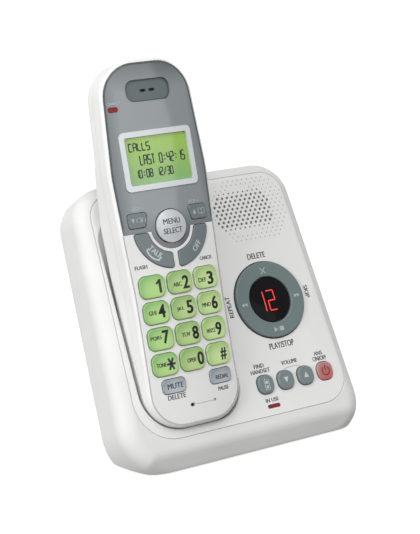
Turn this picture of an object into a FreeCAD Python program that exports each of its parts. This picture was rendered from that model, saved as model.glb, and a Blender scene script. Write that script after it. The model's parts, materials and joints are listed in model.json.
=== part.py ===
"""Cordless telephone with an answering machine: a leaning base with a handset in its cradle.

Three frames are used. The row frame has +Z up, +Y to the back and its origin under the
middle of the base. The base frame lies in the face of the base: x across, y up the slope,
z out of the face, origin at the middle of the face panel's lower edge. The handset frame
lies in the same way in the handset's face. Lengths are in millimetres, angles in degrees.
"""
import FreeCAD, Part
import math
import os
import Sketcher
from FreeCAD import Placement, Rotation, Vector

SIZES = [
    # base, outside
    ("base_tilt", 59.3), ("seam_height", 15.0), ("base_top", 119.8), ("base_low", 16.0),
    ("base_low_half", 63.2), ("base_top_half", 56.3), ("base_depth", 29.0),
    ("base_round", 8.0), ("base_left_corner", 24.0), ("base_low_corner", 18.0),
    ("base_top_corner", 17.0), ("base_wall", 2.4), ("front_wall_back", 2.8),
    ("base_bottom", 1.0), ("seat_gap", 0.1),
    # face panel, dropped into a rebate of the housing
    ("panel_top", 114.3), ("panel_low_half", 57.6), ("panel_top_half", 50.8),
    ("panel_low_left", 55.2), ("panel_left_corner", 19.0), ("panel_low_corner", 14.0),
    ("panel_top_corner", 11.0), ("panel_gap", 0.15),
    ("panel_thick", 2.4), ("ledge_inner", 3.0), ("ledge_root", 2.5), ("ledge_thick", 1.8),
    # cradle
    ("cradle_low_side", 2.0), ("cradle_top_side", 1.3), ("cradle_low_gap", 0.5),
    ("cradle_shift", 0.5), ("cradle_left_corner", 18.5),
    ("cradle_back_gap", 0.5), ("cradle_wall", 1.8), ("cradle_top", 106.0),
    ("cradle_corner", 15.0), ("cradle_edge", 0.9),
    # speaker and its grille
    ("speaker_x", 26.95), ("speaker_y", 97.4), ("speaker_half", 12.6), ("speaker_deep", 7.0),
    ("speaker_rim", 1.8), ("basket_wall", 1.2), ("cone_deep", 3.4), ("cone_wall", 0.6),
    ("cone_gap", 0.9),
    ("coil_half", 2.6), ("magnet_half", 7.5), ("magnet_thick", 5.0), ("hole_pitch", 2.645),
    ("hole_row", 1.931), ("hole_half", 0.66), ("small_hole_half", 0.42),
    # message ring, its carrier and the display in its middle
    ("ring_x", 27.6), ("ring_y", 52.9), ("ring_half", 18.2), ("ring_inner", 11.0),
    ("ring_gap", 0.5), ("ring_proud", 1.3), ("ring_thick", 3.3), ("ring_edge", 0.7),
    ("carrier_gap", 0.7), ("carrier_thick", 1.0), ("carrier_inset", 0.8), ("well_wall", 1.8),
    ("window_half", 10.5), ("window_proud", 1.0), ("window_dome", 90.0),
    ("window_seat", 8.5), ("module_wide", 13.0), ("module_tall", 9.0),
    # base buttons
    ("button_row_x", 29.645), ("button_pitch", 11.03), ("button_y", 14.7), ("button_wide", 8.5),
    ("button_tall", 8.7), ("button_corner", 3.4), ("button_proud", 1.5), ("button_edge", 0.9),
    ("power_proud", 0.8), ("pad_thick", 1.3), ("pad_margin", 2.4), ("post_half", 2.4),
    # lamp in the panel
    ("lamp_x", 14.8), ("lamp_y", 4.3), ("lamp_wide", 6.4), ("lamp_tall", 1.6),
    ("lamp_proud", 0.2),
    # inside the base
    ("board_left", 4.0), ("board_right", 49.0), ("board_low", 7.0), ("board_high", 77.0),
    ("board_level", 9.4), ("board_thick", 1.6), ("cover_inset", 14.0), ("cover_low", 12.0),
    ("cover_thick", 1.3), ("cover_ledge", 2.0), ("boss_half", 3.2), ("boss_left", -25.0),
    ("boss_right", 38.0), ("boss_low", 24.0), ("boss_high", 82.0), ("screw_half", 1.2),
    ("screw_gap", 0.1), ("screw_long", 8.0), ("head_half", 2.5), ("head_thick", 0.9),
    ("slot_half", 0.3),
    # sockets behind the rear cover
    ("jack_side", 27.7), ("line_jack_y", 62.0), ("power_jack_y", 42.0), ("jack_wide", 13.0),
    ("jack_tall", 11.5), ("line_wide", 9.8), ("line_tall", 6.9), ("line_deep", 9.5),
    ("latch_wide", 4.0), ("latch_deep", 1.4), ("barrel_half", 2.85), ("barrel_deep", 9.0),
    ("barrel_pin_half", 0.85),
    # stand and feet
    ("stand_half", 26.0), ("stand_ledge", 2.84), ("stand_lean", 2.6), ("stand_high", 60.0),
    ("stand_wall", 2.4), ("foot_half", 4.2), ("front_foot_x", 43.0), ("front_foot_y", 5.0),
    ("rear_foot_x", 19.0), ("rear_foot_inset", 9.0), ("foot_sink", 0.6),
    # charging contacts and plates
    ("contact_x", 12.0), ("contact_y", 17.0), ("contact_wide", 3.0), ("contact_tall", 6.0),
    ("contact_gap", 0.25), ("contact_foot", 1.6), ("contact_foot_thick", 1.2),
    ("contact_round", 1.2), ("plate_margin", 1.0), ("plate_thick", 0.6),
    # handset, outside
    ("handset_tilt", 71.5), ("handset_x", -25.7), ("handset_out", 3.5), ("handset_low", 4.4),
    ("handset_top", 168.0), ("low_half", 23.4), ("waist_half", 22.9), ("waist_y", 62.0),
    ("widest_half", 24.9), ("widest_y", 118.0), ("top_half", 22.0), ("low_corner", 16.0),
    ("top_corner", 17.0), ("side_blend", 90.0), ("crown_radius", 170.0), ("face_edge", 2.2),
    ("face_line_wide", 0.5), ("face_line_deep", 0.7),
    ("body_thick", 25.0), ("head_deep", 19.5), ("neck_low", 98.0), ("neck_high", 126.0),
    ("neck_blend", 30.0), ("back_round", 7.0), ("split_depth", 9.5), ("shell_wall", 2.0),
    ("skin", 2.2),
    # faceplate and display of the handset
    ("plate_inset", 1.4), ("plate_low", 92.4), ("faceplate_thick", 1.2),
    ("collar_half", 9.9), ("bezel_x", 0.2), ("bezel_y", 123.6), ("bezel_wide", 36.0),
    ("bezel_tall", 26.2), ("bezel_corner", 2.2), ("bezel_proud", 0.5), ("bezel_deep", 2.4),
    ("lcd_wide", 31.2), ("lcd_tall", 21.2), ("lcd_corner", 1.0), ("lcd_sunk", 0.8),
    ("lcd_module_wide", 33.0), ("lcd_module_tall", 24.0),
    # earpiece, lamp and microphone
    ("ear_x", 0.3), ("ear_y", 154.2), ("ear_wide", 22.0), ("ear_tall", 9.6),
    ("ear_corner", 4.0), ("ear_sunk", 0.9), ("ear_deep", 2.5), ("ear_slot_wide", 3.2),
    ("ear_slot_tall", 1.3), ("ear_slot_pitch", 4.4), ("receiver_half", 7.6),
    ("charge_x", -18.0), ("charge_y", 147.2), ("charge_wide", 4.6), ("charge_tall", 2.2),
    ("mic_x", -3.1), ("mic_y", 13.8), ("mic_hole_wide", 2.2), ("mic_hole_tall", 1.4),
    ("dot_x", 8.3), ("dot_half", 0.6), ("dot_deep", 1.6), ("mic_half", 2.8),
    # handset keys
    ("key_pitch_x", 13.55), ("key_pitch_y", 11.55), ("key_row_1", 68.3), ("key_wide", 12.2),
    ("key_tall", 9.8), ("key_corner", 3.2), ("key_proud", 0.9), ("key_edge", 0.6),
    ("key_gap", 0.25), ("key_travel", 0.8), ("lip_wide", 0.5), ("lip_thick", 0.7),
    ("lip_gap", 0.3), ("pad_gap", 0.15), ("low_key_y", 23.8), ("mute_x", -10.9),
    ("redial_x", 13.0), ("low_key_wide", 11.2), ("low_key_tall", 6.4),
    ("low_key_corner", 2.0), ("low_key_proud", 0.5), ("low_key_edge", 0.4),
    ("volume_key_x", 14.9), ("volume_key_y", 97.9), ("volume_key_wide", 9.4),
    ("volume_key_tall", 6.6), ("volume_key_corner", 1.3), ("volume_key_slant", 1.6),
    ("menu_x", 0.4), ("menu_y", 93.4), ("menu_half", 7.3), ("menu_gap", 0.6),
    ("menu_proud", 1.9), ("menu_dome", 24.0), ("arc_inner", 11.6), ("arc_outer", 18.5),
    ("arc_apart", 2.8), ("arc_drop", 1.4), ("arc_corner", 1.3), ("arc_edge", 0.35),
    # inside the handset
    ("mat_thick", 1.2), ("mat_half", 20.0), ("mat_low", 18.5), ("mat_high", 103.0),
    ("core_level", 7.1), ("core_thick", 1.2), ("core_inset", 4.5), ("core_low", 9.0),
    ("core_high", 160.0), ("cell_half", 5.1), ("cell_pitch", 10.0), ("cell_long", 44.0),
    ("cell_low", 30.0), ("cell_level", 17.6), ("bay_half", 16.0), ("bay_gap", 0.5),
    ("bay_wall", 1.2), ("door_half", 18.5), ("door_low", 26.0), ("door_high", 80.0),
    ("door_corner", 3.0), ("door_thick", 1.4), ("door_gap", 0.2), ("door_travel", 3.0),
    ("tongue_half", 5.0), ("tongue_long", 1.8), ("tongue_thick", 0.8), ("pillar_half", 2.6),
    ("pillar_y", 140.5), ("pillar_x", 18.0), ("pillar_grip", 2.0),
]

doc = FreeCAD.newDocument("answering_machine")
sheet = doc.addObject("Spreadsheet::Sheet", "Sizes")
for row, (alias, number) in enumerate(SIZES, start=1):
    sheet.set("A%d" % row, alias.replace("_", " "))
    sheet.set("B%d" % row, str(number))
    sheet.setAlias("B%d" % row, alias)
doc.recompute()


class Sheet:
    """The spreadsheet's sizes, read as numbers."""

    def __getattr__(self, alias):
        return float(sheet.get(alias))


size = Sheet()
X_AXIS = Vector(1, 0, 0)
Y_AXIS = Vector(0, 1, 0)
Z_AXIS = Vector(0, 0, 1)
FAR = 400.0
EPS = 1e-4
nodes = []


# ---------------------------------------------------------------- plane figures and solids

def rounded(corners):
    """A closed wire through (x, y, radius) corners, each rounded by a tangent arc."""
    starts, ends, middles = [], [], []
    count = len(corners)
    for i in range(count):
        here = Vector(corners[i][0], corners[i][1], 0)
        before = Vector(corners[i - 1][0], corners[i - 1][1], 0)
        after = Vector(corners[(i + 1) % count][0], corners[(i + 1) % count][1], 0)
        back = (before - here).normalize()
        on = (after - here).normalize()
        half = back.getAngle(on) / 2
        radius = max(corners[i][2], 0.01)
        reach = radius / math.tan(half)
        centre = here + (back + on).normalize() * (radius / math.sin(half))
        starts.append(here + back * reach)
        ends.append(here + on * reach)
        middles.append(centre + (here - centre).normalize() * radius)
    edges = []
    for i in range(count):
        edges.append(Part.Arc(starts[i], middles[i], ends[i]).toShape())
        following = starts[(i + 1) % count]
        if (following - ends[i]).Length > EPS:
            edges.append(Part.LineSegment(ends[i], following).toShape())
    return Part.Wire(edges)


def prism(wire, low, high):
    """The wire's area, standing from z = low to z = high."""
    solid = Part.Face(wire).extrude(Vector(0, 0, high - low))
    solid.translate(Vector(0, 0, low))
    return solid


def rectangle(wide, tall, corner, x=0.0, y=0.0):
    """A wire: a rectangle about (x, y) with rounded corners."""
    corner = min(corner, wide / 2 - EPS, tall / 2 - EPS)
    return rounded([(x - wide / 2, y - tall / 2, corner), (x + wide / 2, y - tall / 2, corner),
                    (x + wide / 2, y + tall / 2, corner), (x - wide / 2, y + tall / 2, corner)])


def box(x0, x1, y0, y1, z0, z1):
    return Part.makeBox(x1 - x0, y1 - y0, z1 - z0, Vector(x0, y0, z0))


def rod(radius, z0, z1, x=0.0, y=0.0):
    return Part.makeCylinder(radius, z1 - z0, Vector(x, y, z0))


def side_prism(wire, half):
    """A wire drawn in x, y stands for an outline in y, z; it reaches x = -half to half."""
    solid = prism(wire, -half, half)
    solid.rotate(Vector(0, 0, 0), Vector(1, 1, 1), 120)
    return solid


def polygon(points):
    corners = [Vector(x, y, 0) for x, y in points]
    return Part.makePolygon(corners + corners[:1])


def placed(solid, frame):
    """A copy of the solid, moved by frame."""
    copy = solid.copy()
    copy.Placement = frame.multiply(copy.Placement)
    return copy


def solid_of(shape):
    """The one solid that a boolean leaves in its compound."""
    return shape.Solids[0] if len(shape.Solids) == 1 else shape


def edges_at(shape, z):
    """The shape's edges that lie in the plane z."""
    return [edge for edge in shape.Edges
            if abs(edge.BoundBox.ZMin - z) < EPS and abs(edge.BoundBox.ZMax - z) < EPS]


def middle_of(edge):
    return edge.valueAt((edge.FirstParameter + edge.LastParameter) / 2)


# ---------------------------------------------------------------- document objects

def node(label, thing, frame=Placement()):
    """Names a finished sub-part, puts it in its place and keeps it for the export."""
    thing.Label = label
    thing.Placement = frame
    nodes.append(thing)
    return thing


def feature(label, shape, frame=Placement()):
    """A sub-part whose shape neither a body nor primitives can describe."""
    thing = doc.addObject("Part::Feature", label)
    thing.Shape = shape
    if not thing.Placement.isIdentity():
        raise ValueError(label + " carries a place of its own")
    return node(label, thing, frame)


def bind(thing, **expressions):
    """Ties properties of a document object to the sheet."""
    for name, text in expressions.items():
        thing.setExpression(name, text)
    return thing


def sketch_on(body, name):
    plane = next(item for item in body.Origin.OriginFeatures if item.Role == "XY_Plane")
    sketch = body.newObject("Sketcher::SketchObject", name)
    sketch.AttachmentSupport = [(plane, "")]
    sketch.MapMode = "FlatFace"
    return sketch


def named_constraint(sketch, name, constraint, text):
    index = sketch.addConstraint(constraint)
    sketch.renameConstraint(index, name)
    sketch.setExpression("Constraints." + name, text)


def rectangle_sketch(body, name, wide, tall):
    """A rectangle about the body's origin; wide and tall are expressions."""
    sketch = sketch_on(body, name)
    corners = [Vector(-5, -4, 0), Vector(5, -4, 0), Vector(5, 4, 0), Vector(-5, 4, 0)]
    for i in range(4):
        sketch.addGeometry(Part.LineSegment(corners[i], corners[(i + 1) % 4]), False)
    for i in range(4):
        sketch.addConstraint(Sketcher.Constraint("Coincident", i, 2, (i + 1) % 4, 1))
    for i in (0, 2):
        sketch.addConstraint(Sketcher.Constraint("Horizontal", i))
        sketch.addConstraint(Sketcher.Constraint("Vertical", i + 1))
    sketch.addConstraint(Sketcher.Constraint("Symmetric", 0, 1, 1, 2, -1, 1))
    named_constraint(sketch, "wide", Sketcher.Constraint("Distance", 0, 10.0), wide)
    named_constraint(sketch, "tall", Sketcher.Constraint("Distance", 1, 8.0), tall)
    return sketch


def circle_sketch(body, name, radii):
    """Circles about the body's origin; each radius is an expression."""
    sketch = sketch_on(body, name)
    for i, text in enumerate(radii):
        sketch.addGeometry(Part.Circle(Vector(0, 0, 0), Z_AXIS, 10.0 - 3 * i), False)
        sketch.addConstraint(Sketcher.Constraint("Coincident", i, 3, -1, 1))
        named_constraint(sketch, "radius_%d" % i,
                         Sketcher.Constraint("Radius", i, 10.0 - 3 * i), text)
    return sketch


def pad(body, name, sketch, length):
    thing = body.newObject("PartDesign::Pad", name)
    thing.Profile = sketch
    thing.setExpression("Length", length)
    doc.recompute()


def round_edges(body, name, radius, chosen):
    """Fillets the edges of the body's last feature that chosen(edge) picks."""
    base = body.Tip
    names = ["Edge%d" % (i + 1) for i, edge in enumerate(base.Shape.Edges) if chosen(edge)]
    thing = body.newObject("PartDesign::Fillet", name)
    thing.Base = (base, names)
    thing.setExpression("Radius", radius)
    doc.recompute()


def upright(edge):
    return edge.BoundBox.XLength < EPS and edge.BoundBox.YLength < EPS


def plate_body(label, wide, tall, thick):
    """A body: a plain plate about its origin, from z = 0 up."""
    body = doc.addObject("PartDesign::Body", label)
    pad(body, "Plate", rectangle_sketch(body, "Outline", wide, tall), thick)
    return body


def cap(label, wide, tall, high, corner, edge):
    """A key: a rounded cap with a lip round its foot that keeps it behind the skin."""
    body = plate_body(label, wide, tall, high)
    round_edges(body, "Corners", corner, upright)
    top = body.Tip.Shape.BoundBox.ZMax
    round_edges(body, "TopEdge", edge, lambda e: abs(e.BoundBox.ZMin - top) < EPS)
    grown = " + 2 * Sizes.lip_wide"
    pad(body, "Lip", rectangle_sketch(body, "LipOutline", wide + grown, tall + grown),
        "Sizes.lip_thick")
    return body


def cylinder(name, radius, height):
    return bind(doc.addObject("Part::Cylinder", name), Radius=radius, Height=height)


def domed_disc(name, radius, height, dome):
    """A disc with a spherical top, standing on its origin."""
    disc = cylinder(name + "_disc", radius, height)
    ball = bind(doc.addObject("Part::Sphere", name + "_ball"), Radius=dome)
    ball.setExpression("Placement.Base.z", "%s - %s" % (height, dome))
    both = doc.addObject("Part::Common", name)
    both.Base = disc
    both.Tool = ball
    return both


# ---------------------------------------------------------------- frames

BASE_AT = Vector(0, 0, size.seam_height)


def base_frame(origin):
    return Placement(origin, Rotation(X_AXIS, size.base_tilt))


def handset_frame(origin):
    turn = Rotation(X_AXIS, size.handset_tilt)
    out = turn.multVec(Z_AXIS) * size.handset_out
    return Placement(origin + out + Vector(size.handset_x, 0, 0), turn)


def moved(frame, x, y, z):
    return frame.multiply(Placement(Vector(x, y, z), Rotation()))


def handset_in_base():
    """The handset frame as seen from the base frame."""
    return base_frame(BASE_AT).inverse().multiply(handset_frame(BASE_AT))


def crowned(x, y, z):
    """A place over the handset's crowned face, turned with the crown; z counts outwards."""
    angle = x / size.crown_radius
    reach = size.crown_radius + z
    at = Vector(reach * math.sin(angle), y, reach * math.cos(angle) - size.crown_radius)
    return Placement(at, Rotation(Y_AXIS, math.degrees(angle)))


# ---------------------------------------------------------------- levels that pieces share

def button_foot():
    """Depth of a base button's lip behind the panel's face."""
    return size.panel_thick + size.lip_gap + size.lip_thick


def key_foot():
    """Depth of a handset key's lip behind the handset's face."""
    return size.skin + size.lip_gap + size.lip_thick


def carrier_top():
    return size.ring_proud - size.ring_thick - size.carrier_gap


def well_floor():
    """Level of the floor of the well that the message ring rocks in."""
    return carrier_top() - size.carrier_thick - size.carrier_gap


# ---------------------------------------------------------------- base, housing and panel

def base_outline(inset, low):
    """The base seen square to its face, from y = low up, drawn in by inset."""
    taper = (size.base_low_half - size.base_top_half) / size.base_top
    side = inset * math.hypot(1, taper)
    top = size.base_top - inset
    low_half = size.base_low_half - taper * low - side
    top_half = size.base_low_half - taper * top - side
    left_corner = max(size.base_left_corner - inset, 1.0)
    low_corner = max(size.base_low_corner - inset, 1.0)
    top_corner = max(size.base_top_corner - inset, 1.0)
    return rounded([(-low_half, low, left_corner), (low_half, low, low_corner),
                    (top_half, top, top_corner), (-top_half, top, top_corner)])


def panel_outline(grow):
    """The edge of the face panel, grown outwards by grow."""
    low_corners = []
    top_corners = []
    for side, low_half, corner in ((-1, size.panel_low_left, size.panel_left_corner),
                                   (1, size.panel_low_half, size.panel_low_corner)):
        taper = (low_half - size.panel_top_half) / size.panel_top
        out = grow * math.hypot(1, taper)
        low_corners.append((side * (low_half + taper * grow + out), -grow, corner + grow))
        top_corners.append((side * (size.panel_top_half - taper * grow + out),
                            size.panel_top + grow, size.panel_top_corner + grow))
    return rounded(low_corners + top_corners[::-1])


def rear_outline(inset):
    return base_outline(size.cover_inset + inset, size.cover_low + inset)


def above(solid, level):
    """What of a solid in the base frame stands over a level, counted from the table."""
    frame = base_frame(BASE_AT)
    cut = placed(solid, frame).common(box(-FAR, FAR, -FAR, FAR, level, FAR))
    return placed(cut, frame.inverse())


def base_block(wall):
    """The outside of the base, drawn in by wall: a core grown by the base's rounding."""
    core = prism(base_outline(size.base_round, size.base_round - size.base_low),
                 size.base_round - size.base_depth, -size.base_round)
    front = box(-FAR, FAR, size.base_round - size.front_wall_back, FAR, -FAR, FAR)
    core = core.common(placed(front, base_frame(Vector()).inverse())).Solids[0]
    block = core.makeOffsetShape(size.base_round - wall, 1e-3)
    return above(block, size.base_bottom + wall)


def cradle_outline(grow):
    """The mouth of the cradle, square to the face, grown outwards by grow."""
    x = size.handset_x + size.cradle_shift
    low_half = size.low_half + size.cradle_low_side + grow
    top_half = size.low_half + size.cradle_top_side + grow
    foot = handset_in_base().multVec(Vector(0, size.handset_low, 0))
    lean = math.tan(math.radians(size.handset_tilt - size.base_tilt))
    low = foot.y + foot.z * lean - size.cradle_low_gap - grow
    high = size.cradle_top + grow
    corner = size.cradle_corner + grow
    return rounded([(x - low_half, low, size.cradle_left_corner + grow),
                    (x + low_half, low, corner), (x + top_half, high, corner),
                    (x - top_half, high, corner)])


def before_handset_back(extra):
    """All space before a plane that lies extra behind the handset's back."""
    space = box(-FAR, FAR, -FAR, FAR, -size.body_thick - extra, FAR)
    return placed(space, handset_in_base())


def tub(grow, floor, top):
    """The cradle's prism down to a floor that lies that far behind the handset's back."""
    return prism(cradle_outline(grow), -FAR / 2, top).common(before_handset_back(floor))


def base_housing():
    shell = base_block(0).cut(base_block(size.base_wall))
    under = -size.panel_thick - size.seat_gap
    ledge_low = under - size.ledge_thick
    ledge = prism(panel_outline(size.ledge_root), ledge_low, under)
    hole = prism(panel_outline(-size.ledge_inner), ledge_low - 1, 1)
    shell = shell.fuse(ledge).cut(prism(panel_outline(0), under, 1)).cut(hole)
    shell = shell.cut(tub(size.cradle_wall + size.lip_gap,
                          size.cradle_back_gap + size.cradle_wall + size.lip_gap, under + EPS))
    back = -size.base_depth
    shell = shell.cut(prism(rear_outline(0), back - 1, back + size.cover_thick))
    shell = shell.cut(prism(rear_outline(size.cover_ledge), back - 1,
                            back + size.base_wall + 1))
    for x in (-size.front_foot_x, size.front_foot_x):
        recess = rod(size.foot_half + size.seat_gap, -size.foot_sink,
                     size.base_bottom + size.foot_sink, x, size.front_foot_y)
        shell = shell.cut(placed(recess, base_frame(BASE_AT).inverse()))
    return solid_of(shell)


def boss_places():
    return [(x, y) for x in (size.boss_left, size.boss_right)
            for y in (size.boss_low, size.boss_high)]


def grille_holes():
    """Staggered rows of holes: a rounded hexagon, with its first and last rows smaller."""
    starts = (0.0, -0.5, -1.0, -1.5, -1.0, -1.5, -1.0, -1.5, -1.0, -0.5)
    middle = 4.0
    first_row = size.speaker_y + size.hole_row * (len(starts) - 1) / 2
    holes = []
    for row, start in enumerate(starts):
        radius = size.small_hole_half if row in (0, len(starts) - 1) else size.hole_half
        for i in range(int(round(2 * (middle - start))) + 1):
            x = size.speaker_x + (start + i - middle) * size.hole_pitch
            holes.append(rod(radius, -size.panel_thick - 1, 1,
                             x, first_row - row * size.hole_row))
    return Part.makeCompound(holes)


def button_x(i):
    """The place of a button across the base, in a row of four."""
    return size.button_row_x + (i - 1.5) * size.button_pitch


def button_hole(i):
    return prism(rectangle(size.button_wide + 2 * size.key_gap,
                           size.button_tall + 2 * size.key_gap,
                           size.button_corner + size.key_gap, button_x(i), size.button_y),
                 -size.panel_thick - 1, 1)


def contact_slot(x):
    """The slot in the cradle's floor that a charging contact rises through."""
    wide = size.contact_wide + 2 * size.contact_gap
    tall = size.contact_tall + 2 * size.contact_gap
    under = size.body_thick + size.cradle_back_gap + size.cradle_wall + size.seat_gap
    slot = box(x - wide / 2, x + wide / 2, size.contact_y - tall / 2,
               size.contact_y + tall / 2, -under, -size.body_thick)
    return placed(slot, handset_in_base())


def base_face_panel():
    plate = prism(panel_outline(-size.panel_gap), -size.panel_thick, 0)
    plate = plate.common(base_block(0)).cut(grille_holes())
    inside = -size.panel_thick / 2
    boss_end = size.cover_thick + size.seat_gap - size.base_depth
    edge = prism(panel_outline(-size.panel_gap), -FAR, 0)
    cradle = tub(size.cradle_wall, size.cradle_back_gap + size.cradle_wall, inside)
    parts = [cradle.common(edge)]
    for x, y in boss_places():
        parts.append(rod(size.boss_half, boss_end, inside, x, y))
    well_half = size.ring_half + size.ring_gap
    parts.append(rod(well_half + size.well_wall, well_floor() - size.well_wall, inside,
                     size.ring_x, size.ring_y))
    panel = plate.fuse(parts)
    well = tub(0, size.cradle_back_gap, 1)
    panel = panel.cut(well)
    rim = [edge for edge in edges_at(panel, 0)
           if well.distToShape(Part.Vertex(middle_of(edge)))[0] < EPS
           and middle_of(edge).y < size.cradle_top - size.cradle_corner]
    panel = panel.makeFillet(size.cradle_edge, rim)
    for x, y in boss_places():
        panel = panel.cut(rod(size.screw_half + size.screw_gap, boss_end - 1,
                              size.screw_long + 0.5 - size.base_depth, x, y))
    panel = panel.cut(rod(well_half, well_floor(), 1, size.ring_x, size.ring_y))
    panel = panel.cut(rod(size.window_seat, -FAR, 1, size.ring_x, size.ring_y))
    for i in range(4):
        panel = panel.cut(button_hole(i))
    lamp = rectangle(size.lamp_wide + 2 * size.seat_gap, size.lamp_tall + 2 * size.seat_gap,
                     size.lamp_tall / 2, size.lamp_x, size.lamp_y)
    panel = panel.cut(prism(lamp, -size.panel_thick - 1, 1))
    for x in (-size.contact_x, size.contact_x):
        panel = panel.cut(contact_slot(x))
    return solid_of(panel)


def jack_x():
    """Both sockets lie at one distance from the base's right side."""
    return size.base_low_half - size.jack_side


def base_rear_cover():
    back = -size.base_depth
    plate = prism(rear_outline(size.panel_gap), back, back + size.cover_thick - size.seat_gap)
    for x, y in boss_places():
        plate = plate.cut(rod(size.screw_half + size.screw_gap, back - 1, 0, x, y))
        plate = plate.cut(rod(size.head_half + size.screw_gap, back - 1,
                              back + size.head_thick, x, y))
    plate = plate.cut(box(jack_x() - size.line_wide / 2, jack_x() + size.line_wide / 2,
                          size.line_jack_y - size.line_tall / 2,
                          size.line_jack_y + size.line_tall / 2, back - 1, 0))
    return solid_of(plate.cut(rod(size.barrel_half, back - 1, 0,
                                  jack_x(), size.power_jack_y)))


def screw(x, y, low, long):
    """A slotted screw whose head's outer face lies at low."""
    head = rod(size.head_half, low + size.seat_gap, low + size.head_thick, x, y)
    shank = rod(size.screw_half, low + size.head_thick / 2, low + long, x, y)
    slot = box(x - FAR, x + FAR, y - size.slot_half, y + size.slot_half, low,
               low + size.head_thick / 2)
    return head.fuse(shank).cut(slot).Solids[0]


def base_screws():
    """Four equal screws, heads let into the rear cover."""
    return Part.makeCompound([screw(x, y, -size.base_depth, size.screw_long)
                              for x, y in boss_places()])


# ---------------------------------------------------------------- stand and feet

def base_back(z):
    """Where the stand's front lies at height z, a small gap behind the base."""
    tilt = math.radians(size.base_tilt)
    behind = size.base_depth + size.seat_gap
    along = (z - size.seam_height + behind * math.cos(tilt)) / math.sin(tilt)
    return along * math.cos(tilt) + behind * math.sin(tilt)


def stand_back():
    """Where the stand ends behind, for a narrow ledge along its top."""
    return base_back(size.stand_high) + size.stand_ledge + size.stand_lean


def stand_profile(inset, front):
    """The stand in y, z: its front follows the back of the base, moved by front."""
    low = size.base_bottom + inset
    high = size.stand_high - inset
    back = stand_back() - inset
    return polygon([(base_back(low) + front, low), (back, low),
                    (back - size.stand_lean, high), (base_back(high) + front, high)])


def rear_foot_y():
    return stand_back() - size.rear_foot_inset


def stand_bracket():
    """A hollow wedge behind the base, open towards it, that stops it from tipping back."""
    outer = side_prism(stand_profile(0, 0), size.stand_half)
    inner = side_prism(stand_profile(size.stand_wall, -size.base_depth),
                       size.stand_half - size.stand_wall)
    shell = outer.cut(inner)
    for x in (-size.rear_foot_x, size.rear_foot_x):
        shell = shell.cut(rod(size.foot_half + size.seat_gap, 0,
                              size.base_bottom + size.foot_sink, x, rear_foot_y()))
    return solid_of(shell)


def base_feet():
    """Four equal rubber feet: two under the housing, two under the stand."""
    feet = []
    for x, y in ((size.front_foot_x, size.front_foot_y), (size.rear_foot_x, rear_foot_y())):
        for side in (-1, 1):
            foot = rod(size.foot_half, 0, size.base_bottom + size.foot_sink - size.seat_gap,
                       side * x, y)
            feet.append(foot.makeFillet(size.foot_sink / 2, edges_at(foot, 0)))
    return Part.makeCompound(feet)


# ---------------------------------------------------------------- speaker, board, sockets

def speaker_frame():
    """A round basket: a rim behind the grille and a tapering wall down to the magnet."""
    top = -size.panel_thick - size.seat_gap
    low = top - size.speaker_deep
    rim = rod(size.speaker_half, top - size.basket_wall, top)
    outer = Part.makeCone(size.magnet_half, size.speaker_half - size.speaker_rim / 2,
                          top - low, Vector(0, 0, low))
    inner = Part.makeCone(size.magnet_half - size.basket_wall,
                          size.speaker_half - size.speaker_rim, top - low - size.basket_wall,
                          Vector(0, 0, low + size.basket_wall))
    opening = rod(size.coil_half + size.lip_gap, low - 1, top)
    return solid_of(rim.fuse(outer).cut(inner).cut(opening))


def speaker_cone():
    """A paper cone, hung in the basket's rim, with its coil in the basket's floor."""
    top = -size.panel_thick - size.seat_gap - size.cone_wall
    low = top - size.cone_deep
    half = size.speaker_half - size.speaker_rim - size.cone_gap
    outer = Part.makeCone(size.coil_half, half, size.cone_deep, Vector(0, 0, low))
    inner = Part.makeCone(size.coil_half - size.cone_wall, half - size.cone_wall,
                          size.cone_deep, Vector(0, 0, low + size.cone_wall))
    floor = -size.panel_thick - size.speaker_deep
    coil = rod(size.coil_half, floor, low + size.cone_wall)
    return solid_of(outer.cut(inner).fuse(coil))


def base_circuit_board():
    low = -size.board_level - size.board_thick
    board = box(size.board_left, size.board_right, size.board_low, size.board_high,
                low, -size.board_level)
    for x, y in boss_places():
        board = board.cut(rod(size.boss_half + size.lip_gap, low - 1, 0, x, y))
    return solid_of(board)


def base_button_pad():
    """A rubber strip behind the four buttons, with a post under each down to the board."""
    top = -button_foot() - size.key_travel - size.pad_gap
    low = top - size.pad_thick
    strip = prism(rectangle(4 * size.button_pitch, size.button_tall + size.pad_margin,
                            size.post_half, size.button_row_x, size.button_y), low, top)
    for i in range(4):
        strip = strip.fuse(rod(size.post_half, size.seat_gap - size.board_level, top,
                               button_x(i), size.button_y))
    return solid_of(strip)


def in_use_lamp():
    """A light pipe from the panel's face back to the board's lower edge."""
    foot_level = size.seat_gap - size.board_level
    head = prism(rectangle(size.lamp_wide, size.lamp_tall, size.lamp_tall / 2,
                           size.lamp_x, size.lamp_y), foot_level, size.lamp_proud)
    foot = box(size.lamp_x - size.lamp_tall, size.lamp_x + size.lamp_tall, size.lamp_y,
               size.board_low + size.lamp_tall, foot_level, foot_level + size.lamp_tall)
    return solid_of(head.fuse(foot))


def jack_block(margin):
    """A socket's block between the rear cover and the board."""
    return box(margin - size.jack_wide / 2, size.jack_wide / 2 - margin,
               margin - size.jack_tall / 2, size.jack_tall / 2 - margin,
               size.cover_thick + size.seat_gap - size.base_depth,
               -size.board_level - size.board_thick - size.seat_gap)


def line_jack():
    """A modular telephone socket with a notch for the plug's latch."""
    back = size.cover_thick - size.base_depth
    mouth = box(-size.line_wide / 2, size.line_wide / 2, -size.line_tall / 2,
                size.line_tall / 2, back - 1, back + size.line_deep)
    latch = box(-size.latch_wide / 2, size.latch_wide / 2,
                -size.line_tall / 2 - size.latch_deep, 0, back - 1, back + size.line_deep)
    return solid_of(jack_block(0).cut(mouth).cut(latch))


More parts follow.
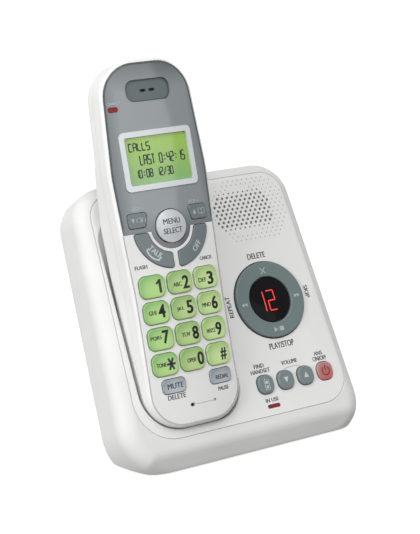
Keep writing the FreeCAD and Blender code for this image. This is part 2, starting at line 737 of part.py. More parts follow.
def power_jack():
    """A barrel socket with its centre pin."""
    back = size.cover_thick - size.base_depth
    hollow = rod(size.barrel_half, back - 1, back + size.barrel_deep)
    pin = rod(size.barrel_pin_half, back + 1, back + size.barrel_deep + 1)
    return solid_of(jack_block(size.latch_deep).cut(hollow).fuse(pin))


def ring_carrier():
    """The ring under the message ring that lets it rock both ways."""
    top = carrier_top()
    low = top - size.carrier_thick
    hole = rod(size.ring_inner + size.carrier_inset, low - 1, top + 1)
    return solid_of(rod(size.ring_half - size.carrier_inset, low, top).cut(hole))


def message_display_module():
    return box(-size.module_wide / 2, size.module_wide / 2, -size.module_tall / 2,
               size.module_tall / 2, size.seat_gap - size.board_level,
               well_floor() - size.seat_gap)


def charge_contacts():
    """Two sprung metal contacts; a foot under the cradle's floor, a head just through it."""
    top = -size.body_thick - size.seat_gap
    floor = -size.body_thick - size.cradle_back_gap - size.cradle_wall - size.seat_gap
    low = floor - size.contact_foot_thick
    contacts = []
    for x in (-size.contact_x, size.contact_x):
        head = box(x - size.contact_wide / 2, x + size.contact_wide / 2,
                   size.contact_y - size.contact_tall / 2,
                   size.contact_y + size.contact_tall / 2, low, top)
        ends = [edge for edge in edges_at(head, top) if edge.BoundBox.YLength < EPS]
        head = head.makeFillet(size.contact_round, ends)
        foot = box(x - size.contact_wide / 2, x + size.contact_wide / 2,
                   size.contact_y - size.contact_tall / 2 - size.contact_foot,
                   size.contact_y + size.contact_tall / 2 + size.contact_foot, low, floor)
        contacts.append(head.fuse(foot).removeSplitter().Solids[0])
    return Part.makeCompound(contacts)


def charge_plates():
    """Two flat plates, flush with the handset's back, over the contacts."""
    low = -size.body_thick
    wide = size.contact_wide / 2 + size.plate_margin
    tall = size.contact_tall / 2 + size.plate_margin
    return [box(x - wide, x + wide, size.contact_y - tall, size.contact_y + tall,
                low, low + size.plate_thick) for x in (-size.contact_x, size.contact_x)]


# ---------------------------------------------------------------- handset shells

def handset_outline(inset):
    """The handset seen square to its face, drawn in by inset."""
    low = size.handset_low
    top = size.handset_top
    low_slope = (size.waist_half - size.low_half) / (size.waist_y - low)
    top_slope = (size.top_half - size.widest_half) / (top - size.widest_y)
    low_half = size.low_half + inset * (low_slope - math.hypot(1, low_slope))
    top_half = size.top_half - inset * (top_slope + math.hypot(1, top_slope))
    right = [(low_half, low + inset, max(size.low_corner - inset, 1.0)),
             (size.waist_half - inset, size.waist_y, size.side_blend + inset),
             (size.widest_half - inset, size.widest_y, size.side_blend - inset),
             (top_half, top - inset, max(size.top_corner - inset, 1.0))]
    return rounded(right + [(-x, y, radius) for x, y, radius in reversed(right)])


def crown(rise):
    """The handset's crowned face, raised by rise, as the top of a long lying rod."""
    radius = size.crown_radius
    return Part.makeCylinder(radius + rise, 2 * FAR, Vector(0, -FAR, -radius), Y_AXIS)


def front_block():
    block = prism(handset_outline(0), -size.split_depth, size.back_round).common(crown(0))
    block = solid_of(block)
    face = max(block.Faces, key=lambda item: item.CenterOfMass.z)
    return block.makeFillet(size.face_edge, face.Edges)


def rear_block(wall):
    """The outside of the handset's rear half, drawn in by wall."""
    inset = size.back_round
    bend = math.atan2(size.body_thick - size.head_deep, size.neck_high - size.neck_low)
    shift = inset * math.tan(bend / 2)
    low = size.handset_low - FAR / 2
    high = size.handset_top + FAR / 2
    back = inset - size.body_thick
    head = inset - size.head_deep
    profile = rounded([(low, back, 0), (size.neck_low - shift, back, size.neck_blend - inset),
                       (size.neck_high - shift, head, size.neck_blend + inset),
                       (high, head, 0), (high, FAR, 0), (low, FAR, 0)])
    core = prism(handset_outline(inset), -size.body_thick, 0)
    core = core.common(side_prism(profile, FAR)).Solids[0]
    block = core.makeOffsetShape(inset - wall, 1e-3)
    split = -size.split_depth - size.seat_gap
    return block.common(box(-FAR, FAR, -FAR, FAR, -FAR, split + (EPS if wall else 0)))


def faceplate_outline(grow):
    """The faceplate's area: the handset's outline above a line, with a lobe for the key."""
    upper = prism(handset_outline(size.plate_inset - grow), -size.skin, size.back_round)
    upper = upper.common(box(-FAR, FAR, size.plate_low - grow, FAR, -FAR, FAR))
    lobe = rod(size.collar_half + grow, -size.skin, size.back_round, size.menu_x, size.menu_y)
    return upper.fuse(lobe)


def key_hole(wide, tall, corner, x, y):
    hole = prism(rectangle(wide + 2 * size.key_gap, tall + 2 * size.key_gap,
                           corner + size.key_gap), -size.skin - 1, size.back_round)
    return placed(hole, crowned(x, y, 0))


def volume_key_outline(side, grow):
    """A volume key seen square to it: its inner edge slants round the menu key's collar."""
    wide = size.volume_key_wide / 2 + grow
    tall = size.volume_key_tall / 2 + grow
    corner = size.volume_key_corner + grow
    return rounded([(-side * (wide - size.volume_key_slant), -tall, corner),
                    (side * wide, -tall, corner), (side * wide, tall, corner),
                    (-side * wide, tall, corner)])


def arc_area(side, grow, low, high):
    """Half of a ring round the menu key, below it: side is -1 for talk and 1 for off."""
    x, y = size.menu_x, size.menu_y
    ring = rod(size.arc_outer + grow, low, high, x, y)
    ring = ring.cut(rod(size.arc_inner - grow, low, high, x, y))
    inner = side * (size.arc_apart / 2 - grow)
    outer = side * FAR
    top = y - size.arc_drop + grow
    part = box(x + min(inner, outer), x + max(inner, outer), -FAR, top, low, high)
    area = solid_of(ring.common(part))
    corners = [edge for edge in area.Edges if upright(edge)]
    return area.makeFillet(size.arc_corner, corners)


def key_places():
    """The twelve dial keys: label, across, up."""
    names = ("key_1", "key_2", "key_3", "key_4", "key_5", "key_6",
             "key_7", "key_8", "key_9", "key_star", "key_0", "key_hash")
    return [(name, (i % 3 - 1) * size.key_pitch_x, size.key_row_1 - i // 3 * size.key_pitch_y)
            for i, name in enumerate(names)]


def low_key_places():
    return [("mute_key", size.mute_x), ("redial_key", size.redial_x)]


def front_openings():
    """Everything that is cut through the handset's face, apart from the display's bezel."""
    holes = [key_hole(size.key_wide, size.key_tall, size.key_corner, x, y)
             for name, x, y in key_places()]
    holes += [key_hole(size.low_key_wide, size.low_key_tall, size.low_key_corner, x,
                       size.low_key_y) for name, x in low_key_places()]
    low, high = -size.core_level, size.back_round
    for side in (-1, 1):
        holes.append(arc_area(side, size.key_gap, low, high))
        outline = prism(volume_key_outline(side, size.key_gap), low, high)
        holes.append(placed(outline, crowned(side * size.volume_key_x, size.volume_key_y, 0)))
    holes.append(rod(size.menu_half + size.menu_gap, low, high, size.menu_x, size.menu_y))
    gap = 2 * size.seat_gap
    for wide, tall, corner, x, y in (
            (size.bezel_wide, size.bezel_tall, size.bezel_corner, size.bezel_x, size.bezel_y),
            (size.ear_wide, size.ear_tall, size.ear_corner, size.ear_x, size.ear_y),
            (size.charge_wide, size.charge_tall, size.charge_tall / 2, size.charge_x,
             size.charge_y),
            (size.mic_hole_wide, size.mic_hole_tall, size.mic_hole_tall / 2, size.mic_x,
             size.mic_y)):
        holes.append(prism(rectangle(wide + gap, tall + gap, corner, x, y), low, high))
    return holes


def face_line():
    """A fine groove round the lower face, in line with the faceplate's side edges."""
    half = size.face_line_wide / 2
    band = prism(handset_outline(size.plate_inset - half), -size.skin, size.back_round)
    band = band.cut(prism(handset_outline(size.plate_inset + half), -FAR, FAR))
    band = band.common(box(-FAR, FAR, -FAR, size.plate_low - size.face_line_wide, -FAR, FAR))
    return band.cut(crown(-size.face_line_deep))


def handset_front_housing(block, openings):
    shell = block.cut(prism(handset_outline(size.shell_wall), -size.split_depth - 1,
                            size.back_round).common(crown(-size.skin)))
    rebate = faceplate_outline(size.seat_gap).cut(crown(-size.faceplate_thick - size.seat_gap))
    shell = shell.cut(rebate)
    for side in (-1, 1):
        pillar = rod(size.pillar_half, -size.split_depth, 0, side * size.pillar_x,
                     size.pillar_y)
        pillar = pillar.common(crown(-size.skin + size.faceplate_thick / 2))
        hole = rod(size.screw_half + size.screw_gap, -size.split_depth - 1,
                   size.pillar_grip - size.split_depth, side * size.pillar_x, size.pillar_y)
        shell = shell.fuse(pillar).cut(hole)
    shell = shell.cut(openings)
    dimple = rod(size.dot_half, -size.dot_deep, 1, size.dot_x, size.mic_y)
    return solid_of(shell.cut(dimple).cut(face_line()))


def handset_faceplate(block, openings):
    plate = faceplate_outline(0).common(block).cut(crown(-size.faceplate_thick))
    return solid_of(plate.cut(openings))


def bay(grow, low):
    """The battery bay's hollow, grown by grow, from the level low to its floor."""
    floor = size.bay_gap - size.cell_level + size.cell_half
    return box(-size.bay_half - grow, size.bay_half + grow,
               size.cell_low - size.bay_gap - grow,
               size.cell_low + size.cell_long + size.bay_gap + grow, low, floor + grow)


def door_area(grow, low, high):
    """The battery door's area with rounded corners; it may slide down from high to low."""
    return rectangle(2 * (size.door_half + grow), high - low + 2 * grow, size.door_corner, 0,
                     (low + high) / 2)


def handset_rear_housing(block):
    shell = block.cut(rear_block(size.shell_wall))
    shell = shell.fuse(bay(size.bay_wall, -size.body_thick).common(block))
    back = -size.body_thick
    recess = door_area(size.door_gap, size.door_low - size.door_travel, size.door_high)
    shell = shell.cut(prism(recess, back - 1, back + size.door_thick + size.seat_gap))
    shell = shell.cut(bay(0, back - 1))
    grow = size.door_gap
    slit = box(-size.tongue_half - grow, size.tongue_half + grow,
               size.door_high - size.tongue_long - size.door_travel - grow,
               size.door_high + size.tongue_long + grow, back + size.door_thick - grow,
               back + size.door_thick + size.tongue_thick + grow)
    shell = shell.cut(slit)
    for plate in charge_plates():
        pocket = plate.makeOffsetShape(size.seat_gap, 1e-3, join=2)
        shell = shell.cut(pocket)
    head = -size.head_deep
    for side in (-1, 1):
        x = side * size.pillar_x
        boss = rod(size.boss_half, head, -size.split_depth - size.seat_gap, x, size.pillar_y)
        shell = shell.fuse(boss.common(block))
        shell = shell.cut(rod(size.screw_half + size.screw_gap, head - 1, 0, x, size.pillar_y))
        shell = shell.cut(rod(size.head_half + size.screw_gap, head - 1,
                              head + size.head_thick, x, size.pillar_y))
    return solid_of(shell)


def battery_door(block):
    back = -size.body_thick
    plate = prism(door_area(0, size.door_low, size.door_high), back - 1,
                  back + size.door_thick).common(block)
    tongue = box(-size.tongue_half, size.tongue_half, size.door_high - size.tongue_long,
                 size.door_high + size.tongue_long, back + size.door_thick - size.seat_gap,
                 back + size.door_thick + size.tongue_thick)
    return solid_of(plate.fuse(tongue))


def handset_screws():
    long = size.head_deep - size.split_depth + size.pillar_grip - 0.5
    return Part.makeCompound([screw(side * size.pillar_x, size.pillar_y, -size.head_deep, long)
                              for side in (-1, 1)])


# ---------------------------------------------------------------- inside the handset

def battery_pack():
    """Three cells side by side in one wrap."""
    cells = [Part.makeCylinder(size.cell_half, size.cell_long,
                               Vector(i * size.cell_pitch, size.cell_low, -size.cell_level),
                               Y_AXIS) for i in (-1, 0, 1)]
    return solid_of(cells[0].fuse(cells[1:]))


def handset_circuit_board():
    low = -size.core_level - size.core_thick
    board = prism(handset_outline(size.core_inset), low, -size.core_level)
    board = board.common(box(-FAR, FAR, size.core_low, size.core_high, -FAR, FAR))
    for side in (-1, 1):
        board = board.cut(rod(size.pillar_half + size.lip_gap, low - 1, 0,
                              side * size.pillar_x, size.pillar_y))
    return solid_of(board)


def handset_key_pad():
    """The rubber key mat; it follows the crown, one travel behind the keys."""
    top = -key_foot() - size.key_travel - size.pad_gap
    area = box(-size.mat_half, size.mat_half, size.mat_low, size.mat_high,
               -size.core_level, size.back_round)
    return solid_of(area.common(crown(top)).cut(crown(top - size.mat_thick)))


def lcd_bezel():
    ring = prism(rectangle(size.bezel_wide, size.bezel_tall, size.bezel_corner, size.bezel_x,
                           size.bezel_y), -size.bezel_deep, size.back_round)
    ring = ring.common(crown(size.bezel_proud))
    hole = prism(rectangle(size.lcd_wide, size.lcd_tall, size.lcd_corner, size.bezel_x,
                           size.bezel_y), -size.bezel_deep - 1, size.back_round)
    return solid_of(ring.cut(hole))


def lcd_window():
    gap = 2 * size.seat_gap
    plate = prism(rectangle(size.lcd_wide - gap, size.lcd_tall - gap, size.lcd_corner,
                            size.bezel_x, size.bezel_y), -size.bezel_deep, size.back_round)
    return solid_of(plate.common(crown(-size.lcd_sunk)))


def lcd_module():
    x, y = size.bezel_x, size.bezel_y
    return box(x - size.lcd_module_wide / 2, x + size.lcd_module_wide / 2,
               y - size.lcd_module_tall / 2, y + size.lcd_module_tall / 2,
               size.seat_gap - size.core_level, -size.bezel_deep - size.seat_gap)


def earpiece_insert():
    """The sunk oval grille over the receiver, with two slots."""
    plate = prism(rectangle(size.ear_wide, size.ear_tall, size.ear_corner, size.ear_x,
                            size.ear_y), -size.ear_deep, size.back_round)
    plate = plate.common(crown(-size.ear_sunk))
    for side in (-0.5, 0.5):
        slot = rectangle(size.ear_slot_wide, size.ear_slot_tall, size.ear_slot_tall / 2,
                         size.ear_x + side * size.ear_slot_pitch, size.ear_y)
        plate = plate.cut(prism(slot, -size.ear_deep - 1, size.back_round))
    return solid_of(plate)


def earpiece_receiver():
    return rod(size.receiver_half, size.seat_gap - size.core_level,
               -size.ear_deep - size.seat_gap, size.ear_x, size.ear_y)


def charge_lamp():
    """A light pipe from the faceplate back to the board."""
    pipe = prism(rectangle(size.charge_wide, size.charge_tall, size.charge_tall / 2,
                           size.charge_x, size.charge_y), size.seat_gap - size.core_level,
                 size.back_round)
    return solid_of(pipe.common(crown(size.seat_gap)))


def microphone():
    return rod(size.mic_half, size.seat_gap - size.core_level, -size.skin - size.seat_gap,
               size.mic_x, size.mic_y)


def volume_key(side):
    foot = key_foot()
    key = prism(volume_key_outline(side, 0), 0, foot + size.low_key_proud)
    key = key.makeFillet(size.low_key_edge, edges_at(key, foot + size.low_key_proud))
    lip = prism(volume_key_outline(side, size.lip_wide), 0, size.lip_thick)
    return solid_of(key.fuse(lip))


def arc_key(side):
    """Talk or off: a crowned half ring; its lip follows the crown too."""
    foot = key_foot()
    low, high = -foot - size.lip_thick, size.back_round
    key = solid_of(arc_area(side, 0, low, high).common(crown(size.low_key_proud)))
    top = max(key.Faces, key=lambda item: item.CenterOfMass.z)
    key = key.makeFillet(size.arc_edge, top.Edges)
    lip = arc_area(side, size.lip_wide, low, high).common(crown(size.lip_thick - foot))
    return solid_of(key.fuse(lip).cut(crown(-foot)))


# ---------------------------------------------------------------- assembly

def make_base_body(frame, level):
    feature("base_housing", base_housing(), frame)
    feature("base_face_panel", base_face_panel(), frame)
    feature("base_rear_cover", base_rear_cover(), frame)
    feature("base_screws", base_screws(), frame)
    feature("stand_bracket", stand_bracket(), level)
    feature("base_feet", base_feet(), level)
    speaker = moved(frame, size.speaker_x, size.speaker_y, 0)
    feature("speaker_frame", speaker_frame(), speaker)
    feature("speaker_cone", speaker_cone(), speaker)
    deep = size.panel_thick + size.speaker_deep + 2 * size.seat_gap + size.magnet_thick
    node("speaker_magnet", cylinder("speaker_magnet", "Sizes.magnet_half",
                                    "Sizes.magnet_thick"), moved(speaker, 0, 0, -deep))
    feature("base_circuit_board", base_circuit_board(), frame)
    feature("base_button_pad", base_button_pad(), frame)
    feature("in_use_lamp", in_use_lamp(), frame)
    feature("line_jack", line_jack(), moved(frame, jack_x(), size.line_jack_y, 0))
    feature("power_jack", power_jack(), moved(frame, jack_x(), size.power_jack_y, 0))


def make_message_display(frame):
    """The four-way ring on its carrier, and the display in its middle."""
    ring = doc.addObject("PartDesign::Body", "message_ring")
    pad(ring, "Annulus", circle_sketch(ring, "Circles", ["Sizes.ring_half",
                                                         "Sizes.ring_inner"]),
        "Sizes.ring_thick")
    round_edges(ring, "TopEdges", "Sizes.ring_edge",
                lambda edge: abs(edge.BoundBox.ZMin - size.ring_thick) < EPS)
    at = moved(frame, size.ring_x, size.ring_y, 0)
    node("message_ring", ring, moved(at, 0, 0, size.ring_proud - size.ring_thick))
    feature("ring_carrier", ring_carrier(), at)
    high = "(Sizes.window_proud - Sizes.ring_proud + Sizes.ring_thick" \
           " + 2 * Sizes.carrier_gap + Sizes.carrier_thick - Sizes.seat_gap)"
    node("message_display_window",
         domed_disc("window", "Sizes.window_half", high, "Sizes.window_dome"),
         moved(at, 0, 0, well_floor() + size.seat_gap))
    feature("message_display_module", message_display_module(), at)


def make_base_buttons(frame):
    grey = "Sizes.panel_thick + Sizes.lip_gap + Sizes.lip_thick + Sizes.button_proud"
    clear = "Sizes.panel_thick + Sizes.lip_gap + Sizes.lip_thick + Sizes.power_proud"
    for i, (name, high) in enumerate((("find_handset_button", grey),
                                      ("base_volume_down_button", grey),
                                      ("base_volume_up_button", grey),
                                      ("answer_on_off_button", clear))):
        button = cap(name, "Sizes.button_wide", "Sizes.button_tall", high,
                     "Sizes.button_corner", "Sizes.button_edge")
        node(name, button, moved(frame, button_x(i), size.button_y, -button_foot()))


def make_handset_body(frame):
    front = front_block()
    rear = rear_block(0)
    openings = front_openings()
    feature("handset_front_housing", handset_front_housing(front, openings), frame)
    feature("handset_faceplate", handset_faceplate(front, openings), frame)
    feature("handset_rear_housing", handset_rear_housing(rear), frame)
    feature("battery_door", battery_door(rear), frame)
    feature("battery_pack", battery_pack(), frame)
    feature("lcd_bezel", lcd_bezel(), frame)
    feature("lcd_window", lcd_window(), frame)
    feature("lcd_module", lcd_module(), frame)
    feature("earpiece_insert", earpiece_insert(), frame)
    feature("earpiece_receiver", earpiece_receiver(), frame)
    feature("charge_lamp", charge_lamp(), frame)
    feature("handset_circuit_board", handset_circuit_board(), frame)
    feature("handset_key_pad", handset_key_pad(), frame)
    feature("microphone", microphone(), frame)
    feature("handset_charge_plates", Part.makeCompound(charge_plates()), frame)
    feature("handset_screws", handset_screws(), frame)
    feature("charge_contacts", charge_contacts(), frame)


def make_handset_keys(frame):
    foot = "Sizes.skin + Sizes.lip_gap + Sizes.lip_thick"
    for name, x, y in key_places():
        key = cap(name, "Sizes.key_wide", "Sizes.key_tall", foot + " + Sizes.key_proud",
                  "Sizes.key_corner", "Sizes.key_edge")
        node(name, key, frame.multiply(crowned(x, y, -key_foot())))
    for name, x in low_key_places():
        key = cap(name, "Sizes.low_key_wide", "Sizes.low_key_tall",
                  foot + " + Sizes.low_key_proud", "Sizes.low_key_corner",
                  "Sizes.low_key_edge")
        node(name, key, frame.multiply(crowned(x, size.low_key_y, -key_foot())))
    for name, side in (("volume_down_key", -1), ("volume_up_key", 1)):
        place = crowned(side * size.volume_key_x, size.volume_key_y, -key_foot())
        feature(name, volume_key(side), frame.multiply(place))
    feature("talk_key", arc_key(-1), frame)
    feature("off_key", arc_key(1), frame)
    dome = domed_disc("menu_cap", "Sizes.menu_half", "(%s + Sizes.menu_proud)" % foot,
                      "Sizes.menu_dome")
    lip = cylinder("menu_lip", "Sizes.menu_half + Sizes.menu_gap + Sizes.lip_wide",
                   "Sizes.lip_thick")
    key = doc.addObject("Part::Fuse", "menu_select_key")
    key.Base = dome
    key.Tool = lip
    node("menu_select_key", key, moved(frame, size.menu_x, size.menu_y, -key_foot()))


def bottom_middle():
    """The base frame's origin that puts the row's origin under the middle of the base."""
    bounds = placed(base_block(0), base_frame(BASE_AT)).optimalBoundingBox(False)
    return Vector(0, -(bounds.YMin + bounds.YMax) / 2, size.seam_height)


def main():
    origin = bottom_middle()
    base = base_frame(origin)
    make_base_body(base, Placement(Vector(0, origin.y, 0), Rotation()))
    make_message_display(base)
    make_base_buttons(base)
    handset = handset_frame(origin)
    make_handset_body(handset)
    make_handset_keys(handset)
    doc.recompute()

    faults = [item.Label + " failed" for item in doc.Objects
              if "Invalid" in item.State or "Error" in item.State]
    for thing in nodes:
        if thing.Shape.isNull() or not thing.Shape.isValid() or not thing.Shape.Solids:
            faults.append(thing.Label + " has no sound shape")
    if faults:
        raise SystemExit("\n".join(faults))
    os.makedirs("parts", exist_ok=True)
    for thing in nodes:
        thing.Shape.exportStep(os.path.join("parts", thing.Label + ".step"))
        print("%-26s %d solids %10.2f mm3" % (thing.Label, len(thing.Shape.Solids),
                                              thing.Shape.Volume))


main()
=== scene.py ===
"""The cordless telephone on its answering base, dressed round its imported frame.

Places on the two faces are in millimetres in the frame of the face: x across, y up the
slope, z out of it. Everything in Blender is in metres.
"""
import json
import math

import bpy
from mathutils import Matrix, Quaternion, Vector
from mathutils.bvhtree import BVHTree


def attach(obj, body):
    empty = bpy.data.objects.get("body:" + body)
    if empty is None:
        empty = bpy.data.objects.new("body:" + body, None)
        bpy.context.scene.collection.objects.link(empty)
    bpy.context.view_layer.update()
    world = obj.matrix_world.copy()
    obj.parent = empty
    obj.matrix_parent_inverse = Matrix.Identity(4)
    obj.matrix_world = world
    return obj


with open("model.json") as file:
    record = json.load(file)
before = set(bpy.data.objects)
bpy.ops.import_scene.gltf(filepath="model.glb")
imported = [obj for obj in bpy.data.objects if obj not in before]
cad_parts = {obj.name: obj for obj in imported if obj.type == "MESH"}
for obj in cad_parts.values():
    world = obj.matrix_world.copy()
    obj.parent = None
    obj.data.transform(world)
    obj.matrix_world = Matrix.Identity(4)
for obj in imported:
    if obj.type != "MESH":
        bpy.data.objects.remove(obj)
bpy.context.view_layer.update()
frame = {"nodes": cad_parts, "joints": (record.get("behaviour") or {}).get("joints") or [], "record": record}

NODES = frame["nodes"]
JOINTS = {joint["name"]: joint for joint in frame["joints"]}
MM = 0.001

# ---------------------------------------------------------------- camera

CAMERA_AT = (-0.34986, -0.588878, 0.29982)
CAMERA_LOOKS = (0.48908, 0.81576, -0.30876)
CAMERA_LENS = 105.03
SENSOR_HIGH = 36.0
NEAREST, FARTHEST = 0.01, 20.0

camera_data = bpy.data.cameras.new("camera")
camera_data.sensor_fit = "VERTICAL"
camera_data.sensor_height = SENSOR_HIGH
camera_data.lens = CAMERA_LENS
camera_data.clip_start, camera_data.clip_end = NEAREST, FARTHEST
camera = bpy.data.objects.new("camera", camera_data)
bpy.context.scene.collection.objects.link(camera)
camera.location = CAMERA_AT
camera.rotation_mode = "QUATERNION"
camera.rotation_quaternion = Vector(CAMERA_LOOKS).to_track_quat("-Z", "Y")
bpy.context.scene.camera = camera

# ---------------------------------------------------------------- the two faces

ACROSS = Vector((1, 0, 0))


class Face:
    """A frame in a face of the object: x across, y up the slope, z out of the face."""

    def __init__(self, corner, out):
        self.corner = Vector(corner) * MM
        self.out = Vector(out).normalized()
        self.up = self.out.cross(ACROSS).normalized()

    def at(self, x, y, z):
        return self.corner + (ACROSS * x + self.up * y + self.out * z) * MM


BASE_EDGE = Vector((0, -40.16780, 15.0))
HANDSET_OUT = 3.5
HANDSET_X = -25.7
base_out = Vector(JOINTS["handset_lift"]["axis"])
handset_out = -Vector(JOINTS["menu_select_key_press"]["axis"])
BASE = Face(BASE_EDGE, base_out)
HANDSET = Face(BASE_EDGE + handset_out * HANDSET_OUT + ACROSS * HANDSET_X, handset_out)

# ---------------------------------------------------------------- material nodes

PATCHES = 70.0         # scales of the noise textures, per metre
MOTTLE = 45.0
SPOTS = 400.0
ROUGH_SPREAD = 0.15    # how much the roughness wanders
GRAIN_STRENGTH = 0.35
EDGE_SAMPLES = 4
THIN_COAT_ROUGH = 0.08


def shader(name):
    """A new node material: its tree, its Principled shader and its coordinates."""
    material = bpy.data.materials.new(name)
    material.use_nodes = True
    tree = material.node_tree
    principled = tree.nodes["Principled BSDF"]
    coordinates = tree.nodes.new("ShaderNodeTexCoord")
    return material, tree, principled, coordinates


def noise(tree, coordinates, scale, detail=2.0):
    texture = tree.nodes.new("ShaderNodeTexNoise")
    texture.inputs["Scale"].default_value = scale
    texture.inputs["Detail"].default_value = detail
    tree.links.new(coordinates.outputs["Object"], texture.inputs["Vector"])
    return texture.outputs["Fac"]


def ramp(tree, factor, stops):
    """The colour at factor on a ramp from (place, colour) stops."""
    node = tree.nodes.new("ShaderNodeValToRGB")
    elements = node.color_ramp.elements
    while len(elements) < len(stops):
        elements.new(0.5)
    for element, (place, colour) in zip(elements, stops):
        element.position = place
        element.color = (*colour, 1.0)
    tree.links.new(factor, node.inputs["Fac"])
    return node.outputs["Color"]


def worked(tree, operation, *sources):
    """The result of a Math node on sockets and numbers."""
    node = tree.nodes.new("ShaderNodeMath")
    node.operation = operation
    for place, source in zip(node.inputs, sources):
        if isinstance(source, float):
            place.default_value = source
        else:
            tree.links.new(source, place)
    return node.outputs[0]


def span(tree, source, low, high):
    """source, from 0 to 1, mapped to low to high."""
    node = tree.nodes.new("ShaderNodeMapRange")
    node.inputs["To Min"].default_value = low
    node.inputs["To Max"].default_value = high
    tree.links.new(source, node.inputs["Value"])
    return node.outputs["Result"]


def across_box(tree, coordinates):
    """The place in the piece's own box, from 0 to 1 along X, Y and Z."""
    node = tree.nodes.new("ShaderNodeSeparateXYZ")
    tree.links.new(coordinates.outputs["Generated"], node.inputs["Vector"])
    return node.outputs


def scaled(colour, k):
    return tuple(min(1.0, c * k) for c in colour)


def surface(tree, principled, coordinates, rough, grain, depth, edge=0.0):
    """Roughness in soft patches and a fine moulded grain, with softened edges."""
    soft = noise(tree, coordinates, PATCHES)
    tree.links.new(span(tree, soft, rough * (1 - ROUGH_SPREAD), rough * (1 + ROUGH_SPREAD)),
                   principled.inputs["Roughness"])
    bump = tree.nodes.new("ShaderNodeBump")
    bump.inputs["Strength"].default_value = GRAIN_STRENGTH
    bump.inputs["Distance"].default_value = depth
    tree.links.new(noise(tree, coordinates, grain, 3.0), bump.inputs["Height"])
    if edge:
        bevel = tree.nodes.new("ShaderNodeBevel")
        bevel.samples = EDGE_SAMPLES
        bevel.inputs["Radius"].default_value = edge
        tree.links.new(bevel.outputs["Normal"], bump.inputs["Normal"])
    tree.links.new(bump.outputs["Normal"], principled.inputs["Normal"])


def moulded(name, colour, rough, grain=2600.0, depth=2e-5, spread=0.03, edge=0.0,
            metallic=0.0, coat=0.0, specular=0.5):
    """Plastic, rubber, paint or metal: one colour, mottled a little, with a fine grain."""
    material, tree, principled, coordinates = shader(name)
    tone = ramp(tree, noise(tree, coordinates, MOTTLE), [(0.25, scaled(colour, 1 - spread)),
                                                         (0.75, scaled(colour, 1 + spread))])
    tree.links.new(tone, principled.inputs["Base Color"])
    principled.inputs["Metallic"].default_value = metallic
    principled.inputs["Coat Weight"].default_value = coat
    principled.inputs["Coat Roughness"].default_value = THIN_COAT_ROUGH
    principled.inputs["Specular IOR Level"].default_value = specular
    surface(tree, principled, coordinates, rough, grain, depth, edge)
    return material


KEY_HIGHLIGHT_AT = {"X": 0.56, "Z": 0.44}      # where the painted highlight on a key is palest, across its box
KEY_PALE, KEY_DEEP = 0.02, 0.34          # how far from there, squared, the painted highlight's tone and the painted shade at the edges lie
KEY_COAT, KEY_COAT_ROUGH = 0.3, 0.15


def key_with_painted_light(name, middle, rim, glow=0.0):
    """Translucent moulding with painted light: a painted highlight near its middle, and painted shade deeper
    in colour towards its edges.
    """
    material, tree, principled, coordinates = shader(name)
    places = across_box(tree, coordinates)
    squares = []
    for axis, centre in KEY_HIGHLIGHT_AT.items():
        away = worked(tree, "SUBTRACT", places[axis], centre)
        squares.append(worked(tree, "MULTIPLY", away, away))
    tone = ramp(tree, worked(tree, "ADD", *squares), [(KEY_PALE, middle), (KEY_DEEP, rim)])
    tree.links.new(tone, principled.inputs["Base Color"])
    if glow:
        tree.links.new(tone, principled.inputs["Emission Color"])
        principled.inputs["Emission Strength"].default_value = glow
    principled.inputs["Coat Weight"].default_value = KEY_COAT
    principled.inputs["Coat Roughness"].default_value = KEY_COAT_ROUGH
    surface(tree, principled, coordinates, 0.3, 1800.0, 1.5e-5, edge=2.5e-4)
    return material


# the ways across the plate's box: about 0 is its middle, and 1 or -1 near its edges
PLATE_SPANS = {"X": (-1.0, 0.87), "Z": (-1.12, 1.0)}
# where the painted shade at the plate's edges begins, and where it is full
EDGE_SHADE_FROM, EDGE_SHADE_FULL = 0.68, 0.99
GLOSS = 0.9                              # specular level of the plate and the display


def plate_with_painted_shade(name, middle, rim):
    """Glossy plate with painted shade, deepening towards its edges."""
    material, tree, principled, coordinates = shader(name)
    places = across_box(tree, coordinates)
    sides = [worked(tree, "ABSOLUTE", span(tree, places[axis], low, high))
             for axis, (low, high) in PLATE_SPANS.items()]
    tone = ramp(tree, worked(tree, "MAXIMUM", *sides), [(EDGE_SHADE_FROM, middle),
                                                        (EDGE_SHADE_FULL, rim)])
    tree.links.new(tone, principled.inputs["Base Color"])
    principled.inputs["Specular IOR Level"].default_value = GLOSS
    surface(tree, principled, coordinates, 0.09, 2600.0, 1e-6)
    return material


DISPLAY_STOPS = (0.05, 0.45, 0.95)       # where its three tones are, from below
DISPLAY_GLOW = 0.15


def lit_display(name, low, middle, top):
    """The display behind its window: yellow-green above, greener below, softly lit."""
    material, tree, principled, coordinates = shader(name)
    tone = ramp(tree, across_box(tree, coordinates)["Z"],
                list(zip(DISPLAY_STOPS, (low, middle, top))))
    tree.links.new(tone, principled.inputs["Base Color"])
    tree.links.new(tone, principled.inputs["Emission Color"])
    principled.inputs["Emission Strength"].default_value = DISPLAY_GLOW
    principled.inputs["Specular IOR Level"].default_value = GLOSS
    surface(tree, principled, coordinates, 0.08, 900.0, 1e-6)
    return material


def glowing(name, colour, strength):
    """A small lamp or lit figure, a little uneven."""
    material, tree, principled, coordinates = shader(name)
    tone = ramp(tree, noise(tree, coordinates, SPOTS), [(0.2, scaled(colour, 0.85)),
                                                        (0.8, colour)])
    tree.links.new(tone, principled.inputs["Base Color"])
    tree.links.new(tone, principled.inputs["Emission Color"])
    principled.inputs["Emission Strength"].default_value = strength
    principled.inputs["Specular IOR Level"].default_value = 0.2
    surface(tree, principled, coordinates, 0.3, 2000.0, 5e-6)
    return material


# ---------------------------------------------------------------- materials

# the plate's grey, and the painted shade it deepens to at its rim
FACE_GREY, FACE_GREY_RIM = (0.205, 0.23, 0.245), (0.065, 0.082, 0.092)
LCD_LOW, LCD_MIDDLE, LCD_TOP = (0.16, 0.35, 0.09), (0.21, 0.40, 0.055), (0.25, 0.44, 0.03)
KEY_GLOW = 0.08

